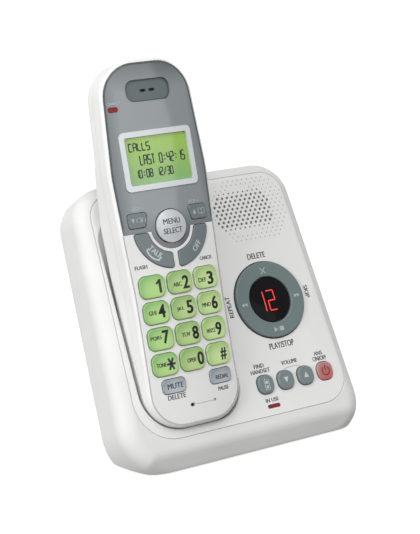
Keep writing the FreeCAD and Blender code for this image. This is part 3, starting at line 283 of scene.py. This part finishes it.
MATERIALS = {
    "white_shell": moulded("shell_white", (0.80, 0.80, 0.79), 0.5, edge=4e-4, specular=0.25),
    "white_face": moulded("panel_white", (0.78, 0.78, 0.77), 0.5, grain=3200.0, edge=3e-4),
    "grey_face": plate_with_painted_shade("faceplate_grey", FACE_GREY, FACE_GREY_RIM),
    "grey_ring": moulded("ring_grey_green", (0.115, 0.165, 0.162), 0.34, depth=8e-6,
                         coat=0.2, edge=3e-4),
    "grey_button": moulded("button_grey_green", (0.14, 0.185, 0.185), 0.3, depth=8e-6,
                           coat=0.3, edge=3e-4),
    "red_button": key_with_painted_light("button_red", (0.44, 0.095, 0.085), (0.40, 0.20, 0.185)),
    "pale_key": key_with_painted_light("key_pale", (0.44, 0.48, 0.51), (0.24, 0.275, 0.31)),
    "silver_key": moulded("key_silver", (0.53, 0.55, 0.56), 0.3, depth=8e-6,
                          metallic=0.25, edge=3e-4),
    "bezel_silver": moulded("bezel_silver", (0.58, 0.61, 0.63), 0.36, depth=6e-6,
                            metallic=0.3),
    "display_glass": lit_display("display_green", LCD_LOW, LCD_MIDDLE, LCD_TOP),
    "dark_window": moulded("window_dark", (0.005, 0.004, 0.005), 0.08, depth=1e-6,
                           specular=0.08),
    "red_lamp": glowing("lamp_red", (0.24, 0.018, 0.022), 0.04),
    "dark_inside": moulded("inside_dark", (0.03, 0.03, 0.033), 0.6),
    "board": moulded("board_green", (0.02, 0.12, 0.05), 0.45, spread=0.12),
    "rubber": moulded("rubber_dark", (0.03, 0.03, 0.03), 0.75, grain=1500.0, depth=5e-5),
    "screw_steel": moulded("screw_steel", (0.55, 0.55, 0.56), 0.35, metallic=1.0),
    "contact_metal": moulded("contact_metal", (0.74, 0.71, 0.64), 0.25, metallic=1.0),
    "paper_cone": moulded("cone_paper", (0.03, 0.03, 0.03), 0.85, grain=900.0, depth=1e-4),
    "magnet_iron": moulded("magnet_iron", (0.10, 0.10, 0.105), 0.55, metallic=0.7),
    "cell_wrap": moulded("cell_wrap", (0.05, 0.12, 0.3), 0.4),
}
# one green for each column of the dial: copies of one key green, paler and yellower towards the right, as
# painted light
GREENS = (
    key_with_painted_light("key_green_left", (0.37, 0.59, 0.185), (0.18, 0.39, 0.10), KEY_GLOW),
    key_with_painted_light("key_green_middle", (0.41, 0.575, 0.21), (0.21, 0.37, 0.105), KEY_GLOW),
    key_with_painted_light("key_green_right", (0.52, 0.69, 0.29), (0.28, 0.45, 0.14), KEY_GLOW),
)
DIAL = ("1", "2", "3", "4", "5", "6", "7", "8", "9", "star", "0", "hash")
# the base's housing: a darker copy of the shell's white, painted shade for its lip that faces down and
# forward
SHADED_HOUSING_WHITE = moulded("shaded_housing_white", (0.74, 0.74, 0.735), 0.5, edge=4e-4, specular=0.25)
INSERT_GREY = moulded("insert_grey", (0.10, 0.125, 0.125), 0.45)
KEY_GREY = moulded("key_grey", (0.115, 0.145, 0.155), 0.28, depth=8e-6, coat=0.3, edge=3e-4)

# nodes whose tone isn't their slot's
OWN_TONES = {"key_" + key: GREENS[i % len(GREENS)] for i, key in enumerate(DIAL)}
OWN_TONES.update({"base_housing": SHADED_HOUSING_WHITE, "earpiece_insert": INSERT_GREY,
                  "talk_key": KEY_GREY, "off_key": KEY_GREY, "volume_down_key": KEY_GREY,
                  "volume_up_key": KEY_GREY})

for part in frame["record"]["subparts"]:
    name = part["node"]
    tone = OWN_TONES[name] if name in OWN_TONES else MATERIALS[part["material_slot"]]
    NODES[name].data.materials[0] = tone

INKS = {
    "ink": moulded("print_ink", (0.025, 0.032, 0.040), 0.5),
    "digit": moulded("print_digit", (0.010, 0.012, 0.014), 0.45),
    "pale": moulded("print_pale", (0.52, 0.57, 0.59), 0.5),
    "faint": moulded("print_faint", (0.40, 0.46, 0.47), 0.5),
    "border": moulded("print_border", (0.055, 0.07, 0.075), 0.3),
    "shade": moulded("print_shade", (0.30, 0.31, 0.31), 0.5),
    # grey discs for the grille's shallow dimples: painted shade
    "dimple": moulded("dimple_painted_shade", (0.36, 0.36, 0.355), 0.6),
    "red": glowing("led_red", (0.74, 0.05, 0.04), 0.72),
    "power": moulded("print_power", (0.20, 0.008, 0.008), 0.5),
    "lcd": moulded("lcd_segments", (0.012, 0.025, 0.012), 0.4),
}

# ---------------------------------------------------------------- flat shapes
# a shape is a list of points and the faces between them


def outline(points):
    return points, [tuple(range(len(points)))]


def block(left, low, right, high):
    return outline([(left, low), (right, low), (right, high), (left, high)])


def triangle(x, base, half, high):
    """A triangle on its base, or, where high is below 0, on its tip."""
    return outline([(x - half, base), (x + half, base), (x, base + high)])


def joined(shapes):
    """Several shapes as one."""
    points, faces = [], []
    for more, sides in shapes:
        faces += [tuple(i + len(points) for i in side) for side in sides]
        points += more
    return points, faces


def straight(a, b, steps):
    return [(a[0] + (b[0] - a[0]) * i / steps, a[1] + (b[1] - a[1]) * i / steps)
            for i in range(steps + 1)]


def arc(x, y, radius, start, end, steps):
    angles = [math.radians(start + (end - start) * i / steps) for i in range(steps + 1)]
    return [(x + radius * math.cos(a), y + radius * math.sin(a)) for a in angles]


def circle(x, y, radius, sides):
    return arc(x, y, radius, 0, 360 - 360 / sides, sides - 1)


def lefts(path):
    """The unit step to the left of each point of a path."""
    steps = []
    for i in range(len(path)):
        ax, ay = path[max(0, i - 1)]
        bx, by = path[min(len(path) - 1, i + 1)]
        long = math.hypot(bx - ax, by - ay)
        steps.append((-(by - ay) / long, (bx - ax) / long))
    return steps


def moved_left(path, far):
    return [(x + nx * far, y + ny * far) for (x, y), (nx, ny) in zip(path, lefts(path))]


def stroke(path, width):
    """A line of one width through the points of a path."""
    points = []
    for left, right in zip(moved_left(path, width / 2), moved_left(path, -width / 2)):
        points += [left, right]
    faces = [(2 * i, 2 * i + 1, 2 * i + 3, 2 * i + 2) for i in range(len(path) - 1)]
    return points, faces


def turned(shape, x, y, degrees=0.0):
    """A shape turned about its own origin, which then goes to x, y."""
    c, s = math.cos(math.radians(degrees)), math.sin(math.radians(degrees))
    return [(x + px * c - py * s, y + px * s + py * c) for px, py in shape[0]], shape[1]


def bent_round(shape, x, y, radius, degrees):
    """A shape bent round a centre above it, its top towards the centre."""
    bent = []
    for px, py in shape[0]:
        angle = math.radians(degrees) + px / radius
        bent.append((x + (radius - py) * math.cos(angle), y + (radius - py) * math.sin(angle)))
    return bent, shape[1]


BOLD = 0.16
LETTER_STEPS = 3


def letters(words, high, wide, bold=BOLD, swell=0.0):
    """A word in capitals about its middle, laid twice, bold apart, to thicken its strokes."""
    curve = bpy.data.curves.new("letters", "FONT")
    curve.body = words
    curve.resolution_u = LETTER_STEPS
    curve.offset = swell
    holder = bpy.data.objects.new("letters", curve)
    bpy.context.scene.collection.objects.link(holder)
    bpy.context.view_layer.update()
    mesh = bpy.data.meshes.new_from_object(
        holder.evaluated_get(bpy.context.evaluated_depsgraph_get()))
    xs = [v.co.x for v in mesh.vertices]
    ys = [v.co.y for v in mesh.vertices]
    kx, ky = (wide - bold) / (max(xs) - min(xs)), high / (max(ys) - min(ys))
    mx, my = (max(xs) + min(xs)) / 2, (max(ys) + min(ys)) / 2
    faces = [tuple(p.vertices) for p in mesh.polygons]
    doubled = joined([([((x - mx) * kx + aside, (y - my) * ky) for x, y in zip(xs, ys)], faces)
                      for aside in (-bold / 2, bold / 2)])
    bpy.data.objects.remove(holder)
    bpy.data.curves.remove(curve)
    bpy.data.meshes.remove(mesh)
    return doubled


# ---------------------------------------------------------------- segment figures

# ends of each segment in a cell 1 wide and 2 tall; a to g as usual, m n the middle upright,
# k q the slanted ones from the middle to the corners
SEGMENTS = {
    "a": (0, 2, 1, 2), "b": (1, 2, 1, 1), "c": (1, 1, 1, 0), "d": (0, 0, 1, 0),
    "e": (0, 1, 0, 0), "f": (0, 2, 0, 1), "g": (0, 1, 1, 1), "m": (0.5, 2, 0.5, 1),
    "n": (0.5, 1, 0.5, 0), "k": (1, 2, 0.5, 1), "q": (0.5, 1, 0, 0),
}
FIGURES = {
    "0": "abcdef", "1": "bc", "2": "abged", "3": "abgcd", "4": "fgbc", "5": "afgcd",
    "8": "abcdefg", "A": "abcefg", "C": "afed", "L": "fed", "S": "afgcd", "T": "amn",
    "/": "kq", " ": "",
}
COLON_DOTS = (0.3, 0.7)
SEGMENT_OVER = 0.2     # how far a segment's tip reaches past its end, of its width


def bar(ax, ay, bx, by, width):
    """A pointed bar from one end to the other, as display segments have."""
    long = math.hypot(bx - ax, by - ay)
    tip = width / 2
    tx, ty = (bx - ax) / long * tip, (by - ay) / long * tip
    return outline([(ax, ay), (ax + tx - ty, ay + ty + tx), (bx - tx - ty, by - ty + tx),
                    (bx, by), (bx - tx + ty, by - ty - tx), (ax + tx + ty, ay + ty - tx)])


def figures(text, x, y, high, cell, pitch, width, lean=0.0):
    """Figures and letters of display segments; x, y is the lower left corner."""
    shapes = []
    for i, sign in enumerate(text):
        left = x + i * pitch
        if sign == ":":
            middle = left + cell / 2
            for share in COLON_DOTS:
                up = y + high * share
                aside = middle + lean * high * share
                shapes.append(block(aside - width / 2, up - width / 2,
                                    aside + width / 2, up + width / 2))
            continue
        for segment in FIGURES[sign]:
            ax, ay, bx, by = SEGMENTS[segment]
            long = math.hypot((bx - ax) * cell, (by - ay) * high / 2)
            over = width * SEGMENT_OVER / long
            dx, dy = (bx - ax) * over, (by - ay) * over
            ends = [(left + px * cell + lean * py * high / 2, y + py * high / 2)
                    for px, py in ((ax - dx, ay - dy), (bx + dx, by + dy))]
            shapes.append(bar(*ends[0], *ends[1], width))
    return joined(shapes)


# ---------------------------------------------------------------- printing on the pieces

PRINT_LIFT = 0.05                  # how far print stands over what it is on
RAY_START = 12.0                   # how far over a face the rays that look for it start
EDGE_STEP, EDGE_FINE = 0.4, 0.02   # the search for an edge: its first stride and its end

trees = {}


def tree_of(name):
    """A node's mesh, as a tree that a ray can be cast at."""
    if name not in trees:
        mesh = NODES[name].data
        trees[name] = BVHTree.FromPolygons([v.co for v in mesh.vertices],
                                           [p.vertices for p in mesh.polygons])
    return trees[name]


def mark(name, shape, where, ink):
    """A thin printed piece: a flat shape of a face, dropped on the nodes that carry it."""
    face, carriers, body, slot = where
    points, faces = shape
    corners = []
    for x, y in points:
        start = face.at(x, y, RAY_START)
        hits = [tree_of(node).ray_cast(start, -face.out) for node in carriers]
        hits = [hit for hit in hits if hit[0]]
        if not hits:
            raise SystemExit("%s: nothing lies under %.1f, %.1f" % (name, x, y))
        nearest = min(hits, key=lambda hit: hit[3])
        corners.append(nearest[0] + face.out * PRINT_LIFT * MM)
    mesh = bpy.data.meshes.new(name)
    mesh.from_pydata([tuple(c) for c in corners], [], faces)
    mesh.materials.append(INKS[ink])
    piece = bpy.data.objects.new(name, mesh)
    bpy.context.scene.collection.objects.link(piece)
    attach(piece, body)


def word(name, words, x, y, high, wide, where, ink="ink", bold=BOLD, swell=0.0, turn=0.0):
    mark(name, turned(letters(words, high, wide, bold, swell), x, y, turn), where, ink)


def edge_of(node, face, x, y, start, end, steps, reach):
    """Points on a node's outer edge, seen from x, y at angles from start to end."""
    path = []
    for i in range(steps + 1):
        angle = math.radians(start + (end - start) * i / steps)
        far, step = reach, EDGE_STEP
        while step > EDGE_FINE:
            at = face.at(x + far * math.cos(angle), y + far * math.sin(angle), RAY_START)
            if tree_of(node).ray_cast(at, -face.out)[0]:
                far, step = far + step, step / 2
            else:
                far -= step
        path.append((x + far * math.cos(angle), y + far * math.sin(angle)))
    return path


# ---------------------------------------------------------------- the base's print
# where print goes: the face, the nodes under it, their body and the print's slot

PANEL = (BASE, ["base_face_panel"], "base", "dark_inside")
RING = (BASE, ["message_ring"], "message_ring_body", "white_face")
WINDOW = (BASE, ["message_display_window"], "base", "red_lamp")
THIN_LINE, FINE_LINE, ICON_LINE = 0.2, 0.22, 0.28


def on_button(node, slot="white_face"):
    return (BASE, [node], node + "_body", slot)


# name, words, x, y, height, width, turn
for name, words, x, y, high, wide, turn in (
        ("delete", "DELETE", 27.1, 74.6, 2.6, 9.8, 0.0),
        ("play_stop", "PLAY/STOP", 27.5, 31.2, 2.9, 13.4, 0.0),
        ("repeat", "REPEAT", 5.8, 53.0, 2.2, 10.2, 90.0),
        ("skip", "SKIP", 48.6, 53.3, 2.2, 6.2, -90.0),
        ("find", "FIND", 12.4, 23.6, 1.9, 5.4, 0.0),
        ("handset", "HANDSET", 12.5, 21.1, 1.9, 10.4, 0.0),
        ("volume", "VOLUME", 28.8, 22.6, 1.9, 8.8, 0.0),
        ("answer", "ANS", 45.3, 23.5, 1.9, 4.6, 0.0),
        ("on_off", "ON/OFF", 45.4, 21.0, 2.1, 7.6, 0.0),
        ("in_use", "IN USE", 14.6, 7.2, 1.8, 7.0, 0.0)):
    word("label_" + name, words, x, y, high, wide, PANEL, turn=turn)
mark("volume_line", stroke(arc(29.6, -5.0, 25.2, 101, 79, 16), FINE_LINE), PANEL, "shade")

RING_X = 27.6
CROSS_LOW, CROSS_HIGH, CROSS_HALF, CROSS_LINE = 65.3, 68.1, 1.3, 0.45
mark("ring_delete_mark", joined([
    stroke([(RING_X - side * CROSS_HALF, CROSS_LOW), (RING_X + side * CROSS_HALF, CROSS_HIGH)],
           CROSS_LINE) for side in (1, -1)]), RING, "faint")

ARROW_Y, ARROW_HALF, ARROW_LONG = 52.4, 0.95, 1.6
ARROWS_FROM = (12.9, 14.5)     # from the ring's middle to the back of each arrow
for side, name in ((-1, "ring_repeat_mark"), (1, "ring_skip_mark")):
    mark(name, joined([outline([(RING_X + side * back, ARROW_Y + ARROW_HALF),
                                (RING_X + side * back, ARROW_Y - ARROW_HALF),
                                (RING_X + side * (back + ARROW_LONG), ARROW_Y)])
                       for back in ARROWS_FROM]), RING, "faint")
play = outline([(25.2, 39.6), (25.2, 37.2), (27.0, 38.4)])
slash = stroke([(27.3, 37.3), (27.9, 39.6)], THIN_LINE)
stop = block(28.2, 37.4, 30.3, 39.5)
mark("ring_play_stop_mark", joined([play, stop, slash]), RING, "faint")

COUNT_Y, COUNT_HIGH, COUNT_LINE, COUNT_LEAN = 47.7, 9.4, 0.55, -0.02
for figure, x, cell in (("1", 21.4, 3.0), ("2", 26.4, 3.7)):
    mark("message_count_" + figure,
         figures(figure, x, COUNT_Y, COUNT_HIGH, cell, 0.0, COUNT_LINE, COUNT_LEAN),
         WINDOW, "red")

# a small handset: its outline, antenna, display and keys
handset_icon = joined([
    stroke([(-1.15, -2.6), (1.15, -2.6), (1.15, 2.0), (-1.15, 2.0), (-1.15, -2.6)], ICON_LINE),
    stroke([(-0.8, 2.0), (-0.8, 3.0)], 1.4 * ICON_LINE),
    block(-0.7, 0.1, 0.7, 1.4), block(-0.6, -2.0, 0.6, -0.7)])
mark("find_mark", turned(handset_icon, 13.3, 14.6), on_button("find_handset_button"), "pale")
mark("volume_down_mark", triangle(24.0, 15.9, 1.3, -2.7), on_button("base_volume_down_button"),
     "pale")
mark("volume_up_mark", triangle(35.0, 13.6, 1.3, 2.7), on_button("base_volume_up_button"),
     "pale")
POWER_X, POWER_Y, POWER_HALF, POWER_LINE = 46.5, 14.6, 2.0, 0.6
mark("power_mark",
     joined([stroke(arc(POWER_X, POWER_Y, POWER_HALF, 120, 420, 24), POWER_LINE),
             stroke([(POWER_X, POWER_Y + 0.3), (POWER_X, POWER_Y + 2.6)], POWER_LINE)]),
     on_button("answer_on_off_button", "dark_inside"), "power")

GRILLE_X, GRILLE_Y = 26.95, 97.4
HOLE_PITCH, ROW_PITCH = 2.645, 1.931
ROWS, COLUMNS = range(-8, 9), range(-8, 12)
HOLES_WIDE, HOLES_TALL = 14.2, 11.6            # half the field of open holes
FIELD_SHIFT, FIELD_SQUASH, FIELD_HALF = 4.0, 1.15, 20.5
DIMPLE_SIDES = 12
DIMPLE_HALF, DIMPLE_CLEAR = 0.34, 0.6          # its radius, and that of the plain face it needs
FADE_FROM, FADE = 12.0, 0.006                  # past it they shrink by this for each mm
HOLE_DEPTH = 0.1                               # a hit deeper than this is in a hole


def on_panel(x, y):
    """Whether the panel's face itself, and not a hole, lies at x, y."""
    hit = tree_of("base_face_panel").ray_cast(BASE.at(x, y, RAY_START), -BASE.out)
    return hit[0] is not None and hit[3] < (RAY_START + HOLE_DEPTH) * MM


def dimples():
    """A field of small grey discs round the grille, on the grille's own pitch: painted shade where shallow
    dimples are.
    """
    spots = []
    for row in ROWS:
        dy = (row + 0.5) * ROW_PITCH
        for column in COLUMNS:
            dx = (column + 0.5 * (row % 2)) * HOLE_PITCH
            x, y = GRILLE_X + dx, GRILLE_Y + dy
            far = math.hypot(dx - FIELD_SHIFT, dy * FIELD_SQUASH)
            if (dx / HOLES_WIDE) ** 2 + (dy / HOLES_TALL) ** 2 < 1.0 or far > FIELD_HALF:
                continue
            rim = circle(x, y, DIMPLE_HALF - FADE * max(0.0, far - FADE_FROM), DIMPLE_SIDES)
            if all(on_panel(*p) for p in rim + circle(x, y, DIMPLE_CLEAR, DIMPLE_SIDES)):
                spots.append(outline(rim))
    return joined(spots)


mark("grille_dimple_shade", dimples(), PANEL, "dimple")

# ---------------------------------------------------------------- the handset's print

FRONT = (HANDSET, ["handset_front_housing"], "handset", "dark_inside")
PLATE = (HANDSET, ["handset_faceplate", "handset_front_housing"], "handset", "white_face")
RIM = (HANDSET, ["handset_faceplate"], "handset", "dark_inside")
INSERT = (HANDSET, ["earpiece_insert"], "handset", "dark_inside")
LCD = (HANDSET, ["lcd_window"], "handset", "dark_inside")


def on_key(node, slot="dark_inside"):
    return (HANDSET, [node], node + "_body", slot)


# name, words, x, y, height, width
for name, words, x, y, high, wide in (
        ("charge", "CHARGE", -17.2, 149.9, 1.3, 6.8),
        ("volume_down", "VOL-", -14.3, 103.3, 1.6, 5.6),
        ("volume_up", "VOL+", 14.0, 102.7, 1.6, 5.6)):
    word("label_" + name, words, x, y, high, wide, PLATE, "faint")
for name, words, x, y, high, wide in (
        ("flash", "FLASH", -17.1, 77.5, 1.7, 6.0),
        ("cancel", "CANCEL", 15.7, 76.9, 1.6, 6.8),
        ("key_delete", "DELETE", -10.3, 18.9, 2.1, 8.8),
        ("pause", "PAUSE", 13.6, 18.1, 1.8, 5.6)):
    word("label_" + name, words, x, y, high, wide, FRONT)
mark("microphone_line", stroke(straight((-1.6, 13.8), (7.4, 13.8), 12), FINE_LINE), FRONT,
     "shade")

# dark lines just inside two edges: the plate's, down to its low corners, and the insert's
PLATE_INSET, PLATE_LINE = 0.45, 0.6
INSERT_INSET, INSERT_LINE = 0.4, 0.45
plate_edge = edge_of("handset_faceplate", HANDSET, 0.0, 130.0,
                     start=-57.0, end=237.0, steps=150, reach=60.0)
mark("plate_border", stroke(moved_left(plate_edge, PLATE_INSET), PLATE_LINE), RIM, "border")
insert_edge = edge_of("earpiece_insert", HANDSET, 0.3, 154.2,
                      start=0.0, end=360.0, steps=60, reach=20.0)
mark("insert_border", stroke(moved_left(insert_edge, INSERT_INSET), INSERT_LINE), INSERT,
     "border")

DIGIT_HIGH, DIGIT_BOLD, DIGIT_SWELL = 5.9, 0.3, 0.02
for digit, x, y, wide in (
        ("2", 2.7, 68.0, 3.4), ("3", 15.6, 67.8, 3.4), ("4", -11.2, 57.2, 3.5),
        ("5", 2.7, 56.8, 3.3), ("6", 15.8, 56.6, 3.3), ("7", -11.3, 45.8, 3.3),
        ("8", 3.4, 45.1, 3.3), ("9", 15.7, 44.7, 3.3), ("0", 3.9, 33.5, 3.4)):
    word("digit_" + digit, digit, x, y, DIGIT_HIGH, wide, on_key("key_" + digit), "digit",
         DIGIT_BOLD, DIGIT_SWELL)

ONE_X, ONE_LOW, ONE_HIGH = -10.1, 65.2, 71.2
ONE_LINE, ONE_FLAG_LINE = 1.25, 0.95
mark("digit_1", joined([stroke(straight((ONE_X, ONE_LOW), (ONE_X, ONE_HIGH), 6), ONE_LINE),
                        stroke(straight((ONE_X, 70.8), (-11.8, 69.3), 2), ONE_FLAG_LINE)]),
     on_key("key_1"), "digit")

STAR_X, STAR_Y, STAR_WIDE, STAR_TALL, STAR_LINE = -10.9, 33.6, 2.1, 3.0, 1.0
STAR_ANGLES = (0, 58, 122)
spokes = []
for angle in STAR_ANGLES:
    dx, dy = STAR_WIDE * math.cos(math.radians(angle)), STAR_TALL * math.sin(math.radians(angle))
    spokes.append(stroke(straight((STAR_X - dx, STAR_Y - dy), (STAR_X + dx, STAR_Y + dy), 2),
                         STAR_LINE))
mark("digit_star", joined(spokes), on_key("key_star"), "digit")

HASH_X, HASH_Y, HASH_WIDE, HASH_TALL, HASH_LEAN, HASH_LINE = 16.1, 33.2, 1.6, 2.7, 0.35, 0.8
HASH_UP, HASH_ASIDE = 0.85, 0.7                # half the way between its pairs of bars
bars = []
for side in (-1, 1):
    up, aside = side * HASH_UP, side * HASH_ASIDE
    bars += [stroke(straight(start, end, 2), HASH_LINE) for start, end in (
        ((HASH_X - HASH_WIDE, HASH_Y + up), (HASH_X + HASH_WIDE, HASH_Y + up)),
        ((HASH_X + aside - HASH_LEAN, HASH_Y - HASH_TALL),
         (HASH_X + aside + HASH_LEAN, HASH_Y + HASH_TALL)))]
mark("digit_hash", joined(bars), on_key("key_hash"), "digit")

KEY_LETTERS_HIGH = 1.9
for key, words, x, y, wide in (
        ("2", "ABC", -1.6, 67.5, 4.4), ("3", "DEF", 11.4, 67.4, 4.2),
        ("4", "GHI", -15.7, 57.0, 3.6), ("5", "JKL", -2.0, 56.5, 3.9),
        ("6", "MNO", 11.4, 56.2, 4.5), ("7", "PQRS", -16.0, 45.8, 5.4),
        ("8", "TUV", -1.4, 45.0, 4.3), ("9", "WXYZ", 11.6, 44.4, 4.9),
        ("star", "TONE", -15.5, 33.8, 4.9), ("0", "OPER", -0.7, 33.4, 4.6)):
    word("letters_" + key, words, x, y, KEY_LETTERS_HIGH, wide, on_key("key_" + key), "digit")

MENU_X, MENU_Y = 0.4, 93.4
MENU = on_key("menu_select_key")
word("label_mute", "MUTE", -10.4, 23.8, 2.4, 7.8, on_key("mute_key"), "digit")
word("label_redial", "REDIAL", 13.6, 23.4, 1.9, 7.0, on_key("redial_key"))
word("label_menu", "MENU", MENU_X, 95.5, 2.5, 8.4, MENU)
word("label_select", "SELECT", MENU_X, 91.3, 2.5, 9.4, MENU)
mark("menu_line", stroke(straight((-3.2, MENU_Y), (4.0, MENU_Y), 8), THIN_LINE), MENU, "shade")

LEFT = on_key("volume_down_key", "white_face")
word("label_call_list", "CID", -13.6, 98.0, 2.2, 4.6, LEFT, "faint")
mark("call_list_mark", triangle(-17.4, 99.0, 0.8, -2.0), LEFT, "faint")
RIGHT = on_key("volume_up_key", "white_face")
book = joined([stroke([(15.4, 97.0), (15.4, 99.3), (17.0, 98.9), (18.6, 99.3), (18.6, 97.0),
                       (17.0, 96.6), (15.4, 97.0)], ICON_LINE),
               stroke([(17.0, 96.6), (17.0, 98.9)], ICON_LINE)])
mark("book_mark", book, RIGHT, "faint")
mark("book_up_mark", triangle(13.3, 97.0, 0.9, 2.1), RIGHT, "faint")

# the words of the two curved keys and a receiver run round the menu key's middle
TALK = on_key("talk_key", "white_face")
OFF = on_key("off_key", "white_face")
RECEIVER_LINE = 0.75
receiver = stroke([(-3.6, 1.3), (-3.6, -0.2)] + arc(0, 8.2, 9.0, 250, 290, 10)
                  + [(3.6, -0.2), (3.6, 1.3)], RECEIVER_LINE)
for name, shape, radius, angle, where in (
        ("label_talk", letters("TALK", 2.5, 7.6), 14.2, 227, TALK),
        ("label_off", letters("OFF", 2.5, 5.4), 15.4, 317, OFF),
        ("talk_mark", receiver, 16.3, 226, TALK)):
    mark(name, bent_round(shape, MENU_X, MENU_Y, radius, angle), where, "pale")

# name, text, x, y, height, width of a figure, pitch, line
for name, text, x, y, high, cell, pitch, line in (
        ("display_line_1", "CALLS", -13.2, 128.1, 3.4, 1.5, 2.12, 0.58),
        ("display_line_2", "LAST 0:42:15", -8.8, 121.8, 4.1, 1.4, 1.92, 0.6),
        ("display_line_3", "10:08 12/30", -11.8, 116.2, 3.4, 1.2, 1.72, 0.52)):
    mark(name, figures(text, x, y, high, cell, pitch, line), LCD, "lcd")

# ---------------------------------------------------------------- floor, light, world

FLOOR_HALF = 6.0
FLOOR_TONE = 0.15
FLOOR_GLOW = 0.8
SHADOW_SHARE = 0.5
WORLD_LEVEL, SEEN_LEVEL = 0.42, 1.0     # the world as a light, and as a background
LIT_POINT = (0.0, 0.0, 0.09)
LIGHTS = (
    # name, place, width, watts, turn
    ("left_light", (-1.12, -0.24, 0.45), 0.8, 9.7, 0.0),
    ("top_light", (-0.18, -0.48, 1.17), 1.0, 7.7, 0.0),
    ("front_card", (0.253, -0.904, 0.475), 0.515, 0.85, 45.0),
)


def pale_rays(tree):
    """1 for the rays that see the pale background: the camera's, reflected and refracted."""
    path = tree.nodes.new("ShaderNodeLightPath")
    total = path.outputs["Is Camera Ray"]
    for kind in ("Is Glossy Ray", "Is Transmission Ray"):
        total = worked(tree, "MAXIMUM", total, path.outputs[kind])
    return total


def chosen(tree, otherwise, pale, output):
    """Sends one shader to the pale rays and the other to the rest."""
    choose = tree.nodes.new("ShaderNodeMixShader")
    tree.links.new(pale_rays(tree), choose.inputs["Fac"])
    tree.links.new(otherwise.outputs[0], choose.inputs[1])
    tree.links.new(pale.outputs[0], choose.inputs[2])
    tree.links.new(choose.outputs[0], output.inputs["Surface"])


def grey_diffuse(tree, level):
    node = tree.nodes.new("ShaderNodeBsdfDiffuse")
    node.inputs["Color"].default_value = (level, level, level, 1)
    return node


def white_floor():
    """A pale floor that looks white to the camera, with the object's shadow on it."""
    mesh = bpy.data.meshes.new("floor")
    mesh.from_pydata([(-FLOOR_HALF, -FLOOR_HALF, 0), (FLOOR_HALF, -FLOOR_HALF, 0),
                      (FLOOR_HALF, FLOOR_HALF, 0), (-FLOOR_HALF, FLOOR_HALF, 0)],
                     [], [(0, 1, 2, 3)])
    material = bpy.data.materials.new("floor_pale")
    material.use_nodes = True
    tree = material.node_tree
    tree.nodes.clear()
    emission = tree.nodes.new("ShaderNodeEmission")
    emission.inputs["Strength"].default_value = FLOOR_GLOW
    both = tree.nodes.new("ShaderNodeAddShader")
    tree.links.new(grey_diffuse(tree, SHADOW_SHARE).outputs[0], both.inputs[0])
    tree.links.new(emission.outputs[0], both.inputs[1])
    chosen(tree, grey_diffuse(tree, FLOOR_TONE), both,
           tree.nodes.new("ShaderNodeOutputMaterial"))
    mesh.materials.append(material)
    floor = bpy.data.objects.new("floor", mesh)
    bpy.context.scene.collection.objects.link(floor)


def white_world():
    """A soft white light all round, that looks white itself."""
    world = bpy.data.worlds.new("studio")
    bpy.context.scene.world = world
    world.use_nodes = True
    tree = world.node_tree
    tree.nodes.clear()
    levels = []
    for level in (WORLD_LEVEL, SEEN_LEVEL):
        background = tree.nodes.new("ShaderNodeBackground")
        background.inputs["Strength"].default_value = level
        background.inputs["Color"].default_value = (1, 1, 1, 1)
        levels.append(background)
    chosen(tree, *levels, tree.nodes.new("ShaderNodeOutputWorld"))


def soft_light(name, at, wide, watts, turn):
    """A square lamp that looks at the object's middle."""
    data = bpy.data.lights.new(name, "AREA")
    data.shape = "SQUARE"
    data.size = wide
    data.energy = watts
    light = bpy.data.objects.new(name, data)
    bpy.context.scene.collection.objects.link(light)
    light.location = at
    light.rotation_mode = "QUATERNION"
    light.rotation_quaternion = ((Vector(LIT_POINT) - Vector(at)).to_track_quat("-Z", "Y")
                                 @ Quaternion((0, 0, 1), math.radians(turn)))


white_floor()
white_world()
for light in LIGHTS:
    soft_light(*light)

bpy.context.scene.view_settings.view_transform = "Standard"
